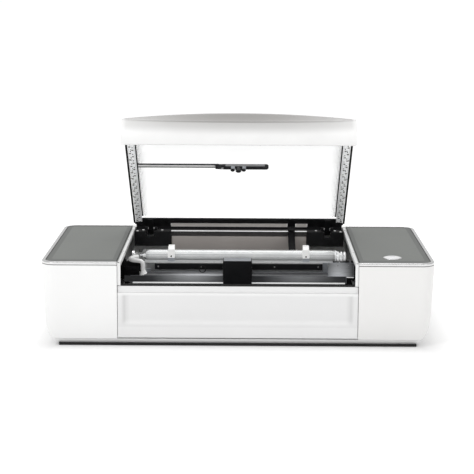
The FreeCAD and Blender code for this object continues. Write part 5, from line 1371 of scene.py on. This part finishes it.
def back_details():
    """The back: screws, louvre slats, the inlet's pins and its shroud, and the rocker's marks."""
    low, high = box_mm("rear_cover")
    marks = Piece("rear_screws", "chassis", "steel")
    for x in (-280, -140, 0, 200, 280):
        for z in (low.z + 12, high.z - 12):
            marks.screw((x, high.y, z), (0, 1, 0), 3.0, 1.2)
    inlet_low, inlet_high = box_mm("power_inlet")
    for x in (inlet_low.x + 2.6, inlet_high.x - 2.6):
        marks.screw((x, inlet_high.y - 0.2, (inlet_low.z + inlet_high.z) / 2), (0, 1, 0), 1.9,
                    0.8)
    marks.done()
    slats = Piece("rear_louvres", "chassis", "white_shell", bevel=0.5)
    gaps = Piece("louvre_gaps", "chassis", "black_plastic")
    for index in range(9):
        x = -215 + index * 18
        gaps.box((x - 3.4, high.y - 0.3, 62), (x + 3.4, high.y + 0.06, 142))
        slats.prism([(x - 4.6, high.y - 0.2), (x - 3.2, high.y + 1.5), (x + 2.2, high.y + 2.8),
                     (x + 2.9, high.y + 2.2), (x - 1.6, high.y + 0.7), (x - 3.2, high.y - 0.2)],
                    61, 143, "z")
    slats.done()
    gaps.done()
    rocker_high = box_mm("power_rocker")[1]
    x, _, z = middle_of("power_rocker")
    prints = Piece("rocker_marks", "switch_rocker", "white_trim", "ceramic")
    prints.box((x - 5.6, rocker_high.y - 0.05, z - 2.2), (x - 4.9, rocker_high.y + 0.08, z + 2.2))
    prints.hoop((x + 5.4, rocker_high.y, z), (0, 1, 0), 1.9, 0.22, sides=28, around=6)
    prints.done()
    shroud = Piece("inlet_shroud", "chassis", "black_plastic", bevel=0.5)
    for z in (inlet_low.z + 1.2, inlet_high.z - 1.2):
        shroud.box((inlet_low.x + 10, inlet_high.y - 0.2, z - 1.0),
                   (inlet_high.x - 10, inlet_high.y + 1.0, z + 1.0))
    shroud.done()


def rotor():
    """Curved blades round a moulded hub, in place of the plain fan."""
    low = box_mm("exhaust_rotor")[0]
    x, _, z = middle_of("exhaust_rotor")
    piece = Piece("fan_blades", "fan_rotor", slots["exhaust_rotor"], angle=45)
    piece.turned((x, low.y + 0.6, z), (0, 1, 0), [
        (0, 12), (0, 17), (1.4, 19.4), (15.2, 20), (16.6, 18.5), (16.8, 8),
    ], sides=48)
    count = 7
    for blade in range(count):
        rings = []
        for step in range(11):
            share = step / 10
            radius = 18.8 + 36.4 * share
            sweep = math.radians(blade * 360 / count + 16 * share ** 1.6)
            pitch = math.radians(52 - 20 * share)
            chord = 11 + 6.5 * share
            ring = []
            for along, thick in ((-1, 0.25), (-0.5, 0.75), (0, 0.95), (0.5, 0.75), (1, 0.25),
                                 (1, -0.25), (0.5, -0.35), (0, -0.3), (-0.5, -0.35), (-1, -0.25)):
                run = along * chord / 2
                lift = 1.4 * (1 - along * along)
                turn = sweep + (run * math.cos(pitch) - (thick + lift) * math.sin(pitch)) / radius
                deep = low.y + 9 + (run * math.sin(pitch) + (thick + lift) * math.cos(pitch)) * 0.9
                ring.append(Vector((x + radius * math.cos(turn), deep,
                                    z + radius * math.sin(turn))) * MM)
            rings.append(ring)
        piece.rings(rings)
    piece.done("exhaust_rotor")


def feet():
    """Turned rubber feet with a chamfered edge and a ribbed sole."""
    low, high = box_mm("feet")
    piece = Piece("rubber_feet", "chassis", slots["feet"], angle=35)
    for x in (low.x + 15, high.x - 15):
        for y in (low.y + 15, high.y - 15):
            piece.turned((x, y, 0), (0, 0, 1), [
                (0.3, 5), (0.0, 6), (0.0, 9), (0.5, 9.5), (0.5, 11), (0.0, 11.6), (0.0, 13.6),
                (0.7, 14.6), (4.4, 15), (5.0, 14.6),
            ], sides=44)
    piece.done("feet")


def teeth(name, body, node, along):
    """Small square teeth on the two long runs of each belt; along is the axis they follow."""
    low, high = box_mm(node)
    across = 1 - along
    wide = high.y - low.y if along == 0 else 7.0
    starts = [low.y] if along == 0 else [low.x, high.x - wide]
    first, last, pitch = low[along] + 9, high[along] - 9, 4
    piece = Piece(name, body, "black_rubber")
    for start in starts:
        for index in range(int((last - first) / pitch)):
            middle = first + index * pitch
            for z, way in ((low.z + 1.2, 1), (high.z - 1.2, -1)):
                near, far = Vector((0, 0, 0)), Vector((0, 0, 0))
                near[along], far[along] = middle - 0.9, middle + 0.9
                near[across], far[across] = start + 0.3, start + wide - 0.3
                near.z, far.z = z - way * 0.1, z + way * 0.65
                piece.box(near, far)
    piece.done()


lid_back()
rear_band()
pod_tops()
trim_details()
bed()
exhaust()
rotor()
back_details()
feet()
teeth("x_belt_teeth", "gantry", "x_belt", 0)
teeth("y_belt_teeth", "chassis", "y_belts", 1)
